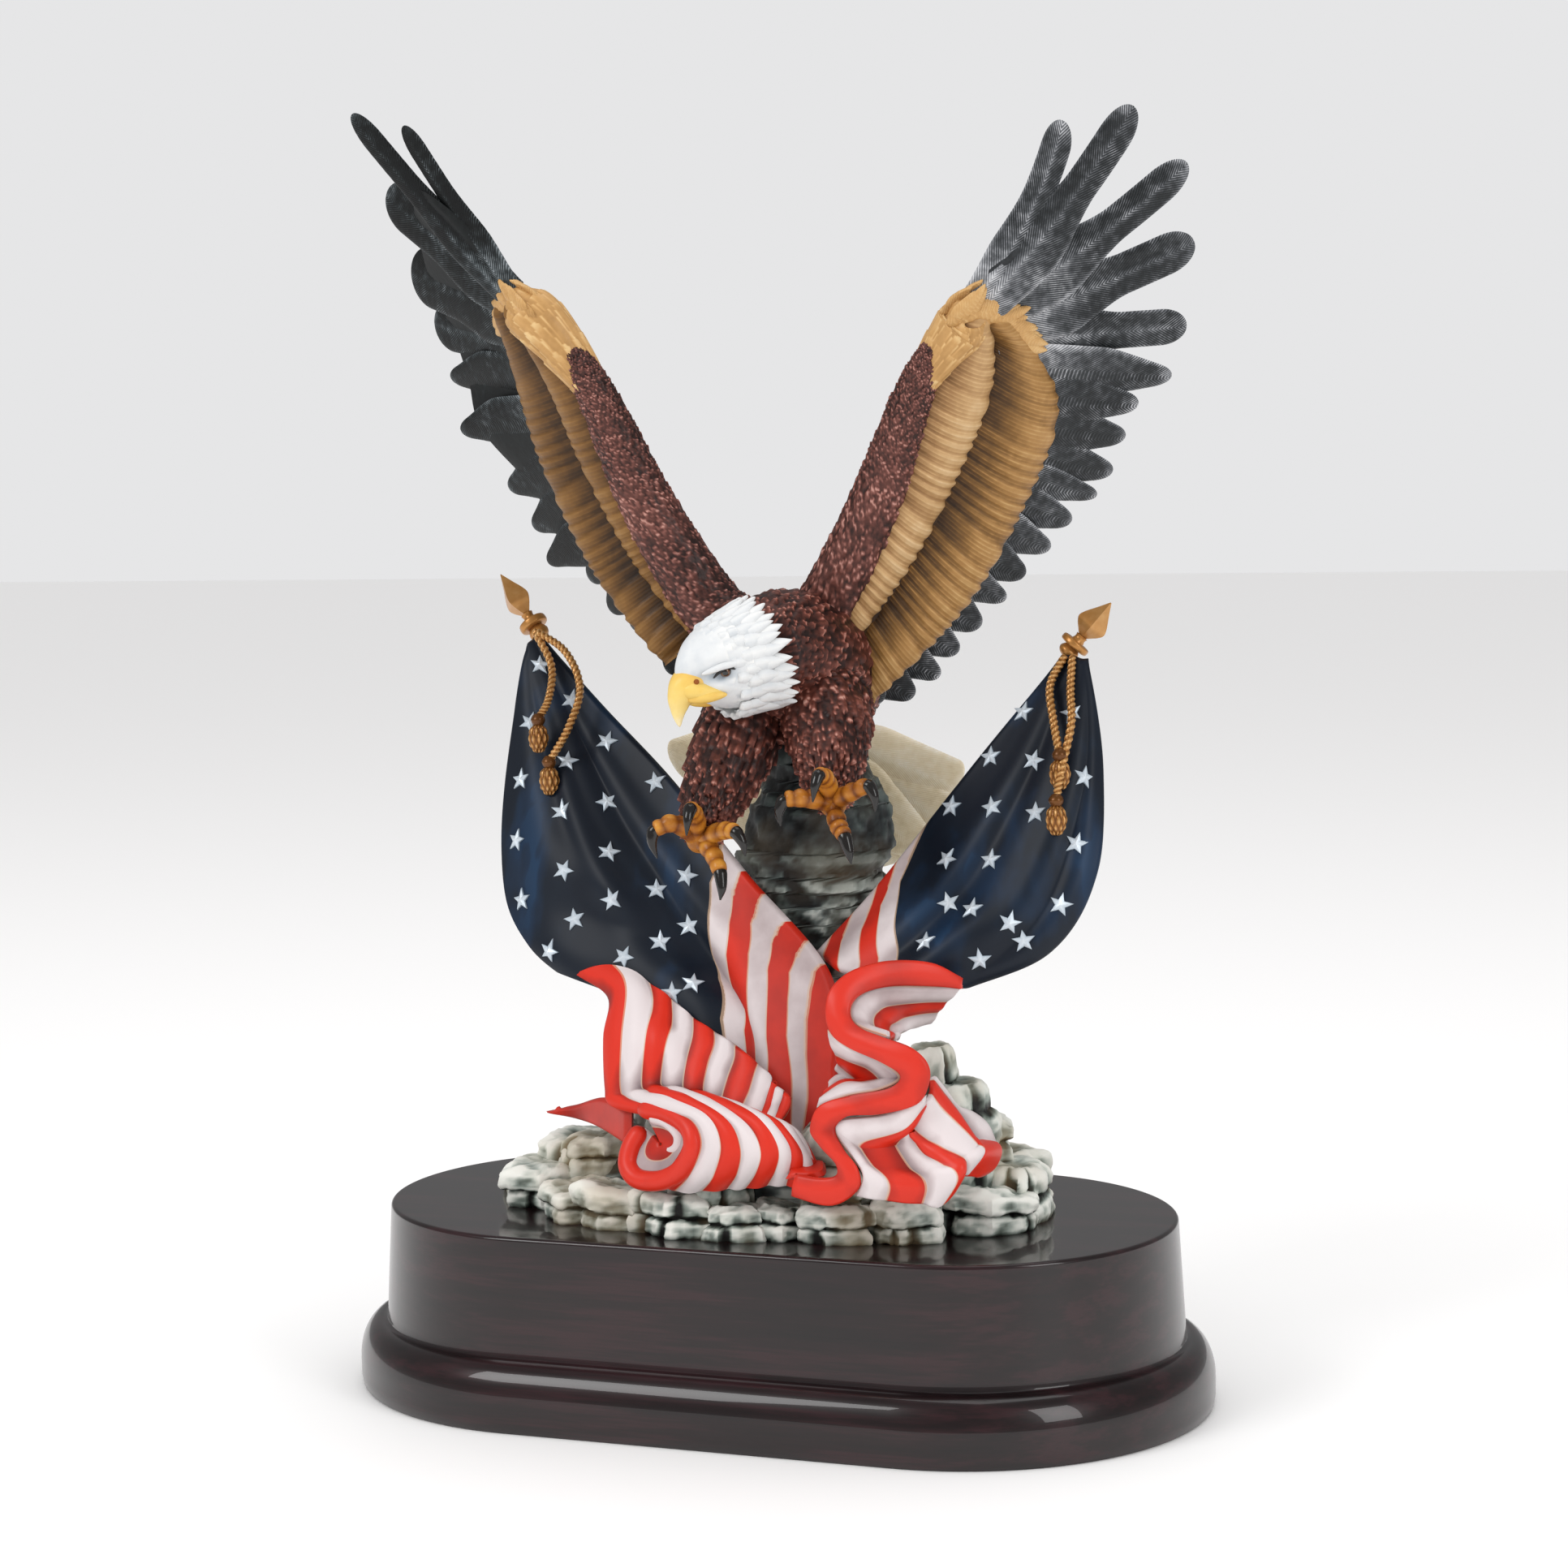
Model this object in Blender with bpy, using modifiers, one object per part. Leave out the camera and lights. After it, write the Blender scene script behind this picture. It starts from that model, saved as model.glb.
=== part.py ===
"""Eagle trophy: a bald eagle lands over two crossed flags and a rock, cast in one piece, on a lacquered plinth.

Metres, +Z up, the front towards -Y. The origin is the centre of the plinth's underside.
The casting is written in shares of its own height: 310 units from the plinth's top to the wing tips.
"""
import math
import random

import bmesh
import bpy
import numpy as np
from mathutils import Matrix, Vector

# Driving dimensions
PLINTH_LENGTH = 0.250
PLINTH_WIDTH = 0.139
PLINTH_HEIGHT = 0.0523
FOOT_HEIGHT = 0.0189
FOOT_INSET = 0.0080
BLOCK_TAPER = 0.00185
EDGE_ROUND = 0.0011
SEAT_GAP = 0.0003
FIGURE_HEIGHT = 0.310

# What follows from them
UNIT = FIGURE_HEIGHT / 310
SEAT = PLINTH_HEIGHT + SEAT_GAP

# Sizes of the casting, in units
VOXEL = 1.05
CASTING_FACES = 8200
FEATHER_THICK = 2.5
FLAG_THICK = 3.4
DRAPE_THICK = 3.0
CORD_RADIUS = 1.25
POLE_RADIUS = 2.3
SEAT_CUT = 0.6

# Wings: arm from shoulder to wrist, outer edge of the coverts from armpit to wrist, and the feather tips
RIGHT_ARM = [(10, 4, 168), (31, -8, 201), (46, -17, 225), (58, -23, 243), (64, -24, 249)]
RIGHT_EDGE = [(27, 3, 144), (53, 9, 172), (70, 11, 201), (80, 6, 223), (78, 0, 238), (71, -15, 246)]
RIGHT_TIPS = [(94.7, -26, 297), (112.7, -23, 300), (119.5, 8, 287.6), (118, 22, 267.6), (114, 29, 245.4),
              (109.4, 30, 231.8), (100.4, 28, 224.2), (95.1, 34, 215.4), (90.3, 38, 205.8), (85.7, 38, 199.3),
              (78.7, 36, 192), (73, 34, 184.5), (66, 32, 177), (61, 30, 170.5), (54.6, 26, 163),
              (49.2, 22, 156), (45, 18, 149.5), (38.5, 14, 144), (30, 10, 142.5)]
LEFT_ARM = [(-10, 4, 169), (-23, -5, 190), (-34, -12, 213), (-42, -19, 233), (-52, -24, 249), (-61, -25, 256)]
LEFT_EDGE = [(-29, 1, 155), (-53, 8, 182), (-69, 10, 212), (-74, 5, 234), (-72, -8, 248), (-69, -17, 255)]
LEFT_TIPS = [(-95.5, -26, 305.6), (-112.9, -23, 310), (-117.4, 6, 286), (-118, 22, 268.5), (-114.2, 29, 253.1),
             (-109.8, 30, 237.3), (-106, 28, 221.5), (-93.6, 34, 204.3), (-87.8, 38, 192.6), (-83.3, 38, 182),
             (-68.2, 34, 177), (-60.1, 30, 168), (-51.3, 26, 162.9), (-41.8, 20, 155.9), (-34.9, 12, 151)]

# Flags: rows of curves from the finial down, from the pole's side to the outer edge
LEFT_FLAG = [[(-79, 22, 161), (-55, 12, 141), (-30, 2, 121), (-3, -10, 96), (25, -21, 70), (25, -30, 43), (22, -36, 22)],
             [(-80, 21, 161), (-60, 10, 137), (-38, -2, 112), (-18, -11, 91), (0, -17, 71), (11, -26, 48), (15, -34, 28)],
             [(-81, 20, 160), (-66, 9, 136), (-49, -5, 109), (-32, -13, 89), (-17, -16, 72), (-3, -24, 58), (3, -30, 38)],
             [(-82, 19, 159), (-72, 7, 134), (-60, -7, 109), (-51, -15, 95), (-43, -18, 82), (-31, -24, 69), (-20, -28, 56)],
             [(-82, 18, 158), (-83, 12, 140), (-83, 4, 120), (-82, -2, 101), (-78, -8, 85), (-69, -14, 75), (-57, -18, 68)]]
RIGHT_FLAG = [[(82, 18, 156), (62, 9, 131), (43, 1, 106), (31, -5, 90), (17, -12, 74)],
              [(84, 16, 156), (74, 2, 124), (60, -9, 97), (46, -16, 83), (30, -20, 70)],
              [(87, 15, 155), (88, -1, 123), (80, -13, 93), (66, -19, 79), (48, -24, 68)],
              [(89, 15, 155), (95, 6, 124), (96, -4, 98), (85, -10, 78), (62, -16, 68)]]
LEFT_DRAPE = [[(-55, -20, 69), (-39, -28, 71), (-24, -32, 66), (2, -36, 52), (26, -40, 30)],
              [(-39, -29, 63), (-30, -35, 63), (-15, -39, 60), (5, -41, 48), (26, -44, 28)],
              [(-36, -38, 36), (-25, -39, 38), (-10, -40, 34), (9, -42, 29), (27, -46, 23)],
              [(-21, -44, 31), (-10, -46, 34), (3, -48, 32), (17, -50, 27), (29, -49, 20)],
              [(-15, -52, 24), (-4, -54, 25), (8, -54, 22), (20, -54, 18), (29, -51, 15)],
              [(-24, -48, 14), (-14, -50, 12), (-2, -50, 12), (12, -50, 11), (26, -49, 11)]]
SCROLL = [(-27, -44, 24), (-24, -49, 15), (-14, -53, 12), (-4, -54, 18), (-3, -52, 26), (-11, -48, 31)]
REAR_TIP = [[(-64, -14, 27), (-46, -22, 32), (-28, -30, 33)], [(-57, -13, 23), (-44, -21, 23), (-28, -30, 24)]]
RIM = [(64, -27, 69), (50, -36, 73), (40, -43, 72), (36, -48, 67), (39, -52, 62), (48, -53, 58), (56, -53, 54),
       (59, -52, 48), (54, -53, 43), (44, -54, 40), (35, -54, 36), (34, -54, 31), (39, -55, 26), (42, -56, 20),
       (38, -56, 15), (30, -55, 15), (24, -53, 20)]
UPPER_LOBE = [[(64, -26, 70), (50, -35, 71), (41, -44, 68), (39, -49, 63), (48, -51, 58)],
              [(59, -24, 65), (50, -31, 64), (45, -37, 62), (45, -42, 60), (49, -46, 58)],
              [(53, -18, 57), (50, -22, 56), (48, -26, 55), (48, -30, 55), (50, -36, 54)]]
HOLLOW = [[(35, -50, 62), (48, -52, 55), (56, -51, 48), (47, -52, 43), (31, -53, 37)],
          [(31, -38, 56), (36, -38, 49), (40, -38, 45), (36, -40, 42), (28, -42, 37)]]
LOWER_FAN = [[(34, -54, 36), (38, -54, 29), (43, -55, 24), (45, -56, 19), (40, -55, 11)],
             [(52, -51, 38), (53, -52, 29), (57, -53, 24), (61, -54, 18), (60, -52, 11)],
             [(56, -46, 42), (60, -45, 35), (65, -44, 29), (69, -44, 23), (69, -43, 14)],
             [(59, -36, 49), (63, -30, 39), (69, -26, 33), (74, -24, 28), (72, -24, 17)]]

# Cords and tassels
CORDS = [[(-79, 17, 163), (-71, 11, 153), (-68, 4, 144), (-70, 1, 138)],
         [(-79, 17, 163), (-67, 12, 157), (-59, 4, 147), (-60, -1, 136), (-66, -1, 126)],
         [(83, 13, 156), (80, 8, 148), (83, 1, 139), (86, -3, 130)],
         [(85, 13, 156), (86, 7, 147), (88, 1, 138), (87, -4, 127), (86, -7, 118)]]
TASSEL_LENGTH = 9
TASSEL_RADIUS = 3.2

# Eagle's body, head and limbs
SPINE = [(7, -32, 158, 12.5), (8, -20, 158, 16), (9, -6, 155, 20), (9, 8, 149, 20.5), (7, 20, 141, 15.5),
         (5, 29, 134, 9)]
SHOULDER_JOINT = (8, 2, 157)
HEAD = Vector((6, -37, 158))
GAZE = Vector((-0.58, -0.75, -0.32)).normalized()
HEAD_RADIUS = 13.2
BEAK = [(1.5, -45, 155.5, 5.2), (-3, -51, 154.5, 4.4), (-5.2, -55.5, 151, 3.2), (-4.6, -58, 146, 1.9),
        (-3, -58.5, 141.5, 0.5)]
LOWER_BEAK = [(1, -44, 151, 3.6), (-1.5, -49, 149.5, 2.8), (-2.6, -52.5, 147.6, 1.4)]
LEFT_LEG = [(-1, -10, 146, 11), (-2, -20, 134, 11), (-4, -31, 121, 8.5), (-5, -38, 112, 5.4), (-5, -41, 109, 3.4)]
RIGHT_LEG = [(20, -8, 146, 12), (24, -18, 138, 11.5), (28, -27, 129, 8.5), (31, -35, 121, 5), (32, -37, 119, 3.2)]
LEFT_TOES = [[(-9, -49, 114), (-14, -52, 112.5), (-13, -52, 105)], [(-3, -49, 116), (-2, -55, 119), (-2, -58, 112)],
             [(4, -47, 112), (9.5, -51, 112.5), (12, -51, 106)], [(0, -45, 106), (4, -49, 101), (4.5, -51, 94)]]
RIGHT_TOES = [[(27, -45, 121), (22, -48, 121), (21, -48, 114)], [(33, -45, 126), (33, -51, 128), (32, -53, 121)],
              [(38, -42, 122), (45, -45, 125), (47, -46, 118)], [(35, -42, 114), (38, -45, 111), (40, -46, 104)]]

# Tail fan, seen behind the body
TAIL_ROOT = Vector((5, 24, 137))
TAIL_TIPS = [(-46, 42, 121), (-39, 47, 107), (-27, 51, 97), (-12, 54, 91), (3, 55, 89), (16, 54, 91), (27, 51, 96),
             (37, 48, 105), (42, 45, 116)]

# Rock: rings of the core from the foot up (x, y, half width, half depth, height) and the loose slabs round it
CORE = [(-2, 0, 62, 36, 0), (-2, 0, 60, 35, 9), (0, -2, 46, 32, 17), (2, -2, 42, 28, 30), (4, 0, 33, 22, 46),
        (6, 3, 26, 17, 62), (9, 7, 19, 15, 78), (10, 8, 22, 17, 84), (10, 8, 21, 17, 96), (11, 8, 23, 18, 99),
        (12, 8, 20, 17, 113), (12, 8, 16, 14, 122), (11, 6, 12, 12, 136)]
SLABS = [(-77, 3, 11, 14, 0, 7), (-66, -15, 15, 14, 0, 12), (-57, -4, 16, 16, 0, 18), (-47, -30, 12, 11, 0, 10),
         (-34, -35, 14, 12, 0, 11), (-13, -39, 15, 12, 0, 11), (2, -41, 11, 11, 0, 9), (16, -36, 10, 10, 0, 9),
         (31, -37, 15, 12, 0, 10), (47, -32, 14, 12, 0, 12), (64, -13, 15, 14, 0, 12), (70, 3, 14, 15, 0, 15),
         (57, 19, 17, 14, 0, 15), (42, 32, 17, 13, 0, 14), (18, 36, 17, 13, 0, 17), (-8, 37, 18, 13, 0, 13),
         (-33, 34, 18, 13, 0, 17), (-56, 22, 18, 15, 0, 12), (-38, 14, 17, 15, 8, 27), (-50, -12, 12, 11, 8, 20),
         (48, 4, 15, 13, 9, 26), (57, 6, 12, 12, 9, 27), (34, 9, 12, 12, 24, 43), (24, 25, 16, 12, 10, 33),
         (-12, 25, 17, 12, 8, 29), (4, 21, 14, 11, 26, 58)]


def clear_scene():
    """Removes everything the start file holds."""
    for thing in list(bpy.data.objects):
        bpy.data.objects.remove(thing, do_unlink=True)


def collection(name):
    """Makes a collection in the scene."""
    made = bpy.data.collections.new(name)
    bpy.context.scene.collection.children.link(made)
    return made


def material(name, colour, roughness, coat=0.0):
    """Makes a plain finish for one piece."""
    made = bpy.data.materials.new(name)
    made.use_nodes = True
    shader = made.node_tree.nodes["Principled BSDF"]
    shader.inputs["Base Color"].default_value = (*colour, 1.0)
    shader.inputs["Roughness"].default_value = roughness
    shader.inputs["Metallic"].default_value = 0.0
    shader.inputs["Coat Weight"].default_value = coat
    return made


def along(points, share):
    """Reads a smooth curve through the points at a share of its run."""
    row = np.asarray(points, dtype=float)
    last = len(row) - 1
    run = min(max(share, 0.0), 1.0) * last
    i = min(int(run), last - 1)
    f = run - i
    before = row[i - 1] if i > 0 else 2 * row[0] - row[1]
    after = row[i + 2] if i + 2 <= last else 2 * row[last] - row[last - 1]
    a, b = row[i], row[i + 1]
    bend = (2 * before - 5 * a + 4 * b - after) * f * f + (3 * a - before - 3 * b + after) * f ** 3
    return 0.5 * (2 * a + (b - before) * f + bend)


def skin(cast, rings):
    """Adds a closed body over a row of equal rings of points."""
    rows = [[cast.verts.new(p) for p in ring] for ring in rings]
    count = len(rings[0])
    for low, high in zip(rows, rows[1:]):
        for k in range(count):
            n = (k + 1) % count
            cast.faces.new((low[k], low[n], high[n], high[k]))
    cast.faces.new(rows[0])
    cast.faces.new(rows[-1])


def tube(cast, stations, sides=8, flat=1.0):
    """Adds a round body along stations of (x, y, z, radius); flat squeezes it across its level direction."""
    rings = []
    for i, (x, y, z, r) in enumerate(stations):
        ahead = Vector(stations[min(i + 1, len(stations) - 1)][:3])
        behind = Vector(stations[max(i - 1, 0)][:3])
        run = (ahead - behind).normalized()
        level = run.cross(Vector((0, 0, 1)))
        if level.length < 0.1:
            level = run.cross(Vector((0, 1, 0)))
        level.normalize()
        rise = level.cross(run)
        turn = [2 * math.pi * k / sides for k in range(sides)]
        rings.append([Vector((x, y, z)) + level * (r * flat * math.cos(a)) + rise * (r * math.sin(a)) for a in turn])
    skin(cast, rings)


def blade(cast, root, tip, normal, width, thick, bow=0.0, sweep=0.0, steps=6):
    """Adds a feather with a round tip: bow lifts its middle along the normal, sweep moves it sideways."""
    root, tip = Vector(root), Vector(tip)
    run = (tip - root).normalized()
    across = normal.cross(run).normalized()
    up = run.cross(across).normalized()
    rings = []
    for i in range(steps + 1):
        t = math.sin(math.pi / 2 * i / steps)
        spread = width / 2 * (0.6 + 0.4 * min(t / 0.5, 1)) * math.sqrt(max(1 - max(t - 0.72, 0) ** 2 / 0.0784, 0.05))
        high = thick / 2 * (1.15 - 0.35 * t)
        centre = root.lerp(tip, t) + (up * bow + across * sweep) * (4 * t * (1 - t))
        ring = [(1, 0), (0.5, 0.85), (-0.5, 0.85), (-1, 0), (-0.5, -0.85), (0.5, -0.85)]
        rings.append([centre + across * (spread * a) + up * (high * b) for a, b in ring])
    skin(cast, rings)


def sheet(cast, curves, thick, across=16, down=16, fold=0.0, folds=5):
    """Adds a thick cloth through a row of curves, with soft folds that run down it."""
    cloth = bmesh.new()
    grid = []
    for i in range(across + 1):
        u = i / across
        row = []
        for j in range(down + 1):
            v = j / down
            place = along([along(c, v) for c in curves], u)
            wave = fold * math.sin(math.pi * 2 * folds * u) * math.sin(math.pi * min(v * 1.4, 1) * 0.5)
            row.append(cloth.verts.new((place[0], place[1] + wave, place[2])))
        grid.append(row)
    for i in range(across):
        for j in range(down):
            cloth.faces.new((grid[i][j], grid[i + 1][j], grid[i + 1][j + 1], grid[i][j + 1]))
    cloth.normal_update()
    add_copy(cast, thicken(cloth, thick))


def thicken(cloth, thick):
    """Gives a cloth its thickness with a Solidify modifier and returns the solid's mesh."""
    flat = bpy.data.meshes.new("cloth")
    cloth.to_mesh(flat)
    cloth.free()
    carrier = bpy.data.objects.new("cloth", flat)
    bpy.context.scene.collection.objects.link(carrier)
    wall = carrier.modifiers.new("wall", "SOLIDIFY")
    wall.thickness = thick
    wall.offset = 0
    solid = bpy.data.meshes.new_from_object(carrier.evaluated_get(bpy.context.evaluated_depsgraph_get()))
    bpy.data.objects.remove(carrier, do_unlink=True)
    return solid


def add_copy(cast, mesh):
    """Adds a finished mesh to the casting."""
    cast.from_mesh(mesh)
    bpy.data.meshes.remove(mesh)


def lump(cast, centre, radii, turn=0.0, rings=10):
    """Adds a round mass."""
    place = Matrix.Translation(centre) @ Matrix.Rotation(turn, 4, "Z") @ Matrix.Diagonal((*radii, 1))
    bmesh.ops.create_uvsphere(cast, u_segments=16, v_segments=rings, radius=1, matrix=place)


def slab(cast, x, y, half_x, half_y, low, high, seed):
    """Adds a flat-topped rock with split sides."""
    chance = random.Random(seed)
    layers = max(1, round((high - low) / 9))
    rings = []
    corners = [0.82 + 0.26 * chance.random() for _ in range(9)]
    for layer in range(layers + 1):
        for lip in (0, 1):
            height = low + (high - low) * (layer + (0.25 if lip and layer < layers else 0)) / layers
            reach = 1 - 0.05 * layer - (0.10 if (layer == layers and lip) or (lip and layer) else 0)
            reach = reach if layer or lip else reach * 0.96
            if lip and layer == layers:
                continue
            ring = []
            for k, corner in enumerate(corners):
                a = 2 * math.pi * k / len(corners) + 0.4 * seed
                wobble = corner * reach * (1 + 0.05 * (chance.random() - 0.5))
                ring.append(Vector((x + half_x * wobble * math.cos(a), y + half_y * wobble * math.sin(a), height)))
            rings.append(ring)
    skin(cast, rings)


def wing(cast, arm, edge, tips, finger_widths):
    """Adds one wing: arm, coverts and the flight feathers."""
    shoulder, wrist = Vector(arm[0]), Vector(arm[-1])
    middle = Vector(tips[len(tips) // 2])
    plane = (wrist - shoulder).cross(middle - shoulder.lerp(wrist, 0.6)).normalized()
    if plane.y > 0:
        plane = -plane
    open_hand = (plane + Vector((0, -1.2, 0))).normalized()
    bone = [[0.8 * a + 0.2 * e for a, e in zip(along(arm, s / 8), along(edge, s / 8))] for s in range(9)]
    count = len(tips)
    fingers = len(finger_widths)
    for i, tip in enumerate(tips):
        s = 1 - 0.02 * i if i < fingers else 0.93 - 0.90 * (i - fingers) / (count - fingers - 1)
        start, rim = Vector(along(arm, s)), Vector(along(edge, s))
        lift = plane * (-1.0 + 0.9 * (i % 2))
        if i < fingers:
            root = start.lerp(rim, 0.30 + 0.14 * i)
            blade(cast, root + lift, tip, open_hand, finger_widths[i], FEATHER_THICK, -2.5, 0.6 * i, 9)
        else:
            root = start.lerp(rim, 0.62)
            width = 1.35 * (Vector(tips[i - 1]) - Vector(tip)).length
            blade(cast, root + lift, tip, plane, min(max(width, 11), 15), FEATHER_THICK, -1.5)
    joint = [(*SHOULDER_JOINT, 9), (*along(bone, 0), 9.5)]
    tube(cast, joint + [(*along(bone, s), 8.2 - 3.2 * s) for s in (0.15, 0.3, 0.45, 0.6, 0.75, 0.9, 0.97, 1)], 10, 0.85)
    crown = [[0.5 * a + 0.5 * e + 2.6 * n for a, e, n in zip(along(arm, s / 5), along(edge, s / 5), plane)]
             for s in range(6)]
    sheet(cast, [bone, crown, edge], 4.6, 8, 14)
    for k in range(10):
        s = 0.05 + 0.092 * k
        start, rim = Vector(along(bone, s)), Vector(along(edge, s))
        blade(cast, start.lerp(rim, 0.4), start.lerp(rim, 1.08), plane, 12.5, 5, 0.8)


def eagle(cast):
    """Adds the bird."""
    shingled(cast, SPINE, 14, 1.05, 4)
    lump(cast, HEAD, (HEAD_RADIUS * 0.92, HEAD_RADIUS, HEAD_RADIUS * 0.98))
    tube(cast, BEAK, 8, 0.72)
    tube(cast, LOWER_BEAK, 6, 0.8)
    brow_side = GAZE.cross(Vector((0, 0, 1))).normalized()
    for way in (-1, 1):
        start = HEAD + GAZE * 8.5 + brow_side * (6.2 * way) + Vector((0, 0, 5.0))
        end = start + GAZE * 4 - brow_side * (1.8 * way) - Vector((0, 0, 1.8))
        tube(cast, [(*start, 2.6), (*end, 1.8)], 6)
    mane(cast)
    for leg, toes in ((LEFT_LEG, LEFT_TOES), (RIGHT_LEG, RIGHT_TOES)):
        shingled(cast, leg, 10, 1.0, 3)
        ankle = leg[-1][:3]
        lump(cast, Vector(ankle), (3.8, 3.6, 3.6))
        for knuckle, bend, claw in toes:
            tube(cast, [(*ankle, 2.9), (*knuckle, 2.6), (*bend, 2.2), (*claw, 0.9)], 6)
    wing(cast, RIGHT_ARM, RIGHT_EDGE, RIGHT_TIPS, (9.5, 11, 12.5, 14, 12))
    wing(cast, LEFT_ARM, LEFT_EDGE, LEFT_TIPS, (9, 10, 13, 13, 12))
    for i, tip in enumerate(TAIL_TIPS):
        way = (Vector(tip) - TAIL_ROOT).normalized()
        normal = Vector((way.x * 0.2, -0.9, -0.45)).normalized()
        blade(cast, TAIL_ROOT + way * 4, tip, normal, 17, 3.8, 1.2 * (-1) ** i)


def shingled(cast, stations, sides, flat, layers):
    """Adds a limb whose coarse feathers lie in rings, each ring's edge proud of the next."""
    rows = []
    for layer in range(layers):
        for share, proud in ((0.0, 0.94), (0.55, 1.0), (0.9, 1.10)):
            x, y, z, r = along(stations, (layer + share) / layers)
            rows.append((x, y, z, r * (proud if layer < layers - 1 or share < 0.9 else 0.8)))
    rows.append((*stations[-1][:3], stations[-1][3] * 0.8))
    tube(cast, rows, sides, flat)


def mane(cast):
    """Adds the pointed locks round the back of the head."""
    side = GAZE.cross(Vector((0, 0, 1))).normalized()
    top = side.cross(GAZE).normalized()
    for ring, (back, reach, long) in enumerate(((2.5, 0.88, 8), (9, 0.96, 8.5))):
        for k in range(9):
            a = 2 * math.pi * (k + 0.5 * (ring % 2)) / 9
            out = side * math.cos(a) + top * math.sin(a)
            root = HEAD + out * (HEAD_RADIUS * reach * 0.85) - GAZE * back * 0.3
            tip = HEAD + out * (HEAD_RADIUS * reach + 2.2) - GAZE * (back + long)
            blade(cast, root, tip, out, 8.5, 5.5, 0.6, 0, 4)


def flags(cast):
    """Adds both flags, their drapes on the rock, finials, cords and tassels."""
    sheet(cast, LEFT_FLAG, FLAG_THICK, 20, 20, 1.6, 3)
    sheet(cast, RIGHT_FLAG, FLAG_THICK, 20, 18, 1.6, 3)
    sheet(cast, LEFT_DRAPE, DRAPE_THICK, 16, 20)
    sheet(cast, REAR_TIP, DRAPE_THICK, 4, 8)
    sheet(cast, UPPER_LOBE, DRAPE_THICK, 8, 14)
    sheet(cast, HOLLOW, DRAPE_THICK, 8, 14)
    sheet(cast, LOWER_FAN, DRAPE_THICK, 12, 12)
    tube(cast, [(*along(RIM, i / 34), 2.7) for i in range(35)], 8)
    tube(cast, [(*along(SCROLL, i / 12), 2.6) for i in range(13)], 8)
    for flag, tip in ((LEFT_FLAG, (-93, 25, 179)), (RIGHT_FLAG, (94, 21, 170))):
        pole = flag[0]
        tube(cast, [(*along(pole, t), POLE_RADIUS) for t in (0, 0.3, 0.6)], 8)
        finial(cast, Vector(pole[0]), Vector(tip))
    for cord in CORDS:
        tube(cast, [(*along(cord, i / 8), CORD_RADIUS) for i in range(9)], 6)
        x, y, z = cord[-1]
        long = TASSEL_LENGTH
        thread = [(x, y, z + 2, 1.4), (x, y, z, 2.4), (x, y, z - 0.3 * long, 2.0), (x, y, z - long, TASSEL_RADIUS)]
        tube(cast, thread, 8)


def finial(cast, foot, tip):
    """Adds a four-sided spear point on its ball and collar."""
    def at(share, radius):
        return (*foot.lerp(tip, share), radius)
    tube(cast, [at(-0.15, 2.8), at(0.1, 3.0), at(0.16, 4.2), at(0.26, 4.2), at(0.32, 2.2)], 10)
    tube(cast, [at(0.28, 1.8), at(0.36, 2.0), at(0.56, 4.4), at(0.95, 0.7), at(1.0, 0.3)], 4)


def rock(cast):
    """Adds the rock core and the slabs laid round it."""
    rings = []
    for level, (x, y, half_x, half_y, height) in enumerate(CORE):
        chance = random.Random(level // 2 + 5)
        ring = []
        for k in range(14):
            a = 2 * math.pi * k / 14
            reach = 0.93 + 0.14 * chance.random()
            ring.append(Vector((x + half_x * reach * math.cos(a), y + half_y * reach * math.sin(a), height)))
        rings.append(ring)
    skin(cast, rings)
    for seed, (x, y, half_x, half_y, low, high) in enumerate(SLABS):
        slab(cast, x, y, half_x, half_y, low, high, seed + 1)


def largest_shell(body):
    """Keeps the outer skin: anything not joined to it by an edge, a sealed hollow too, goes."""
    left = set(body.faces)
    shells = []
    while left:
        found = [left.pop()]
        for here in found:
            near = {face for edge in here.edges for face in edge.link_faces} & left
            left -= near
            found.extend(near)
        shells.append(found)
    keep = set(max(shells, key=len))
    bmesh.ops.delete(body, geom=[face for face in body.faces if face not in keep], context="FACES")


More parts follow.
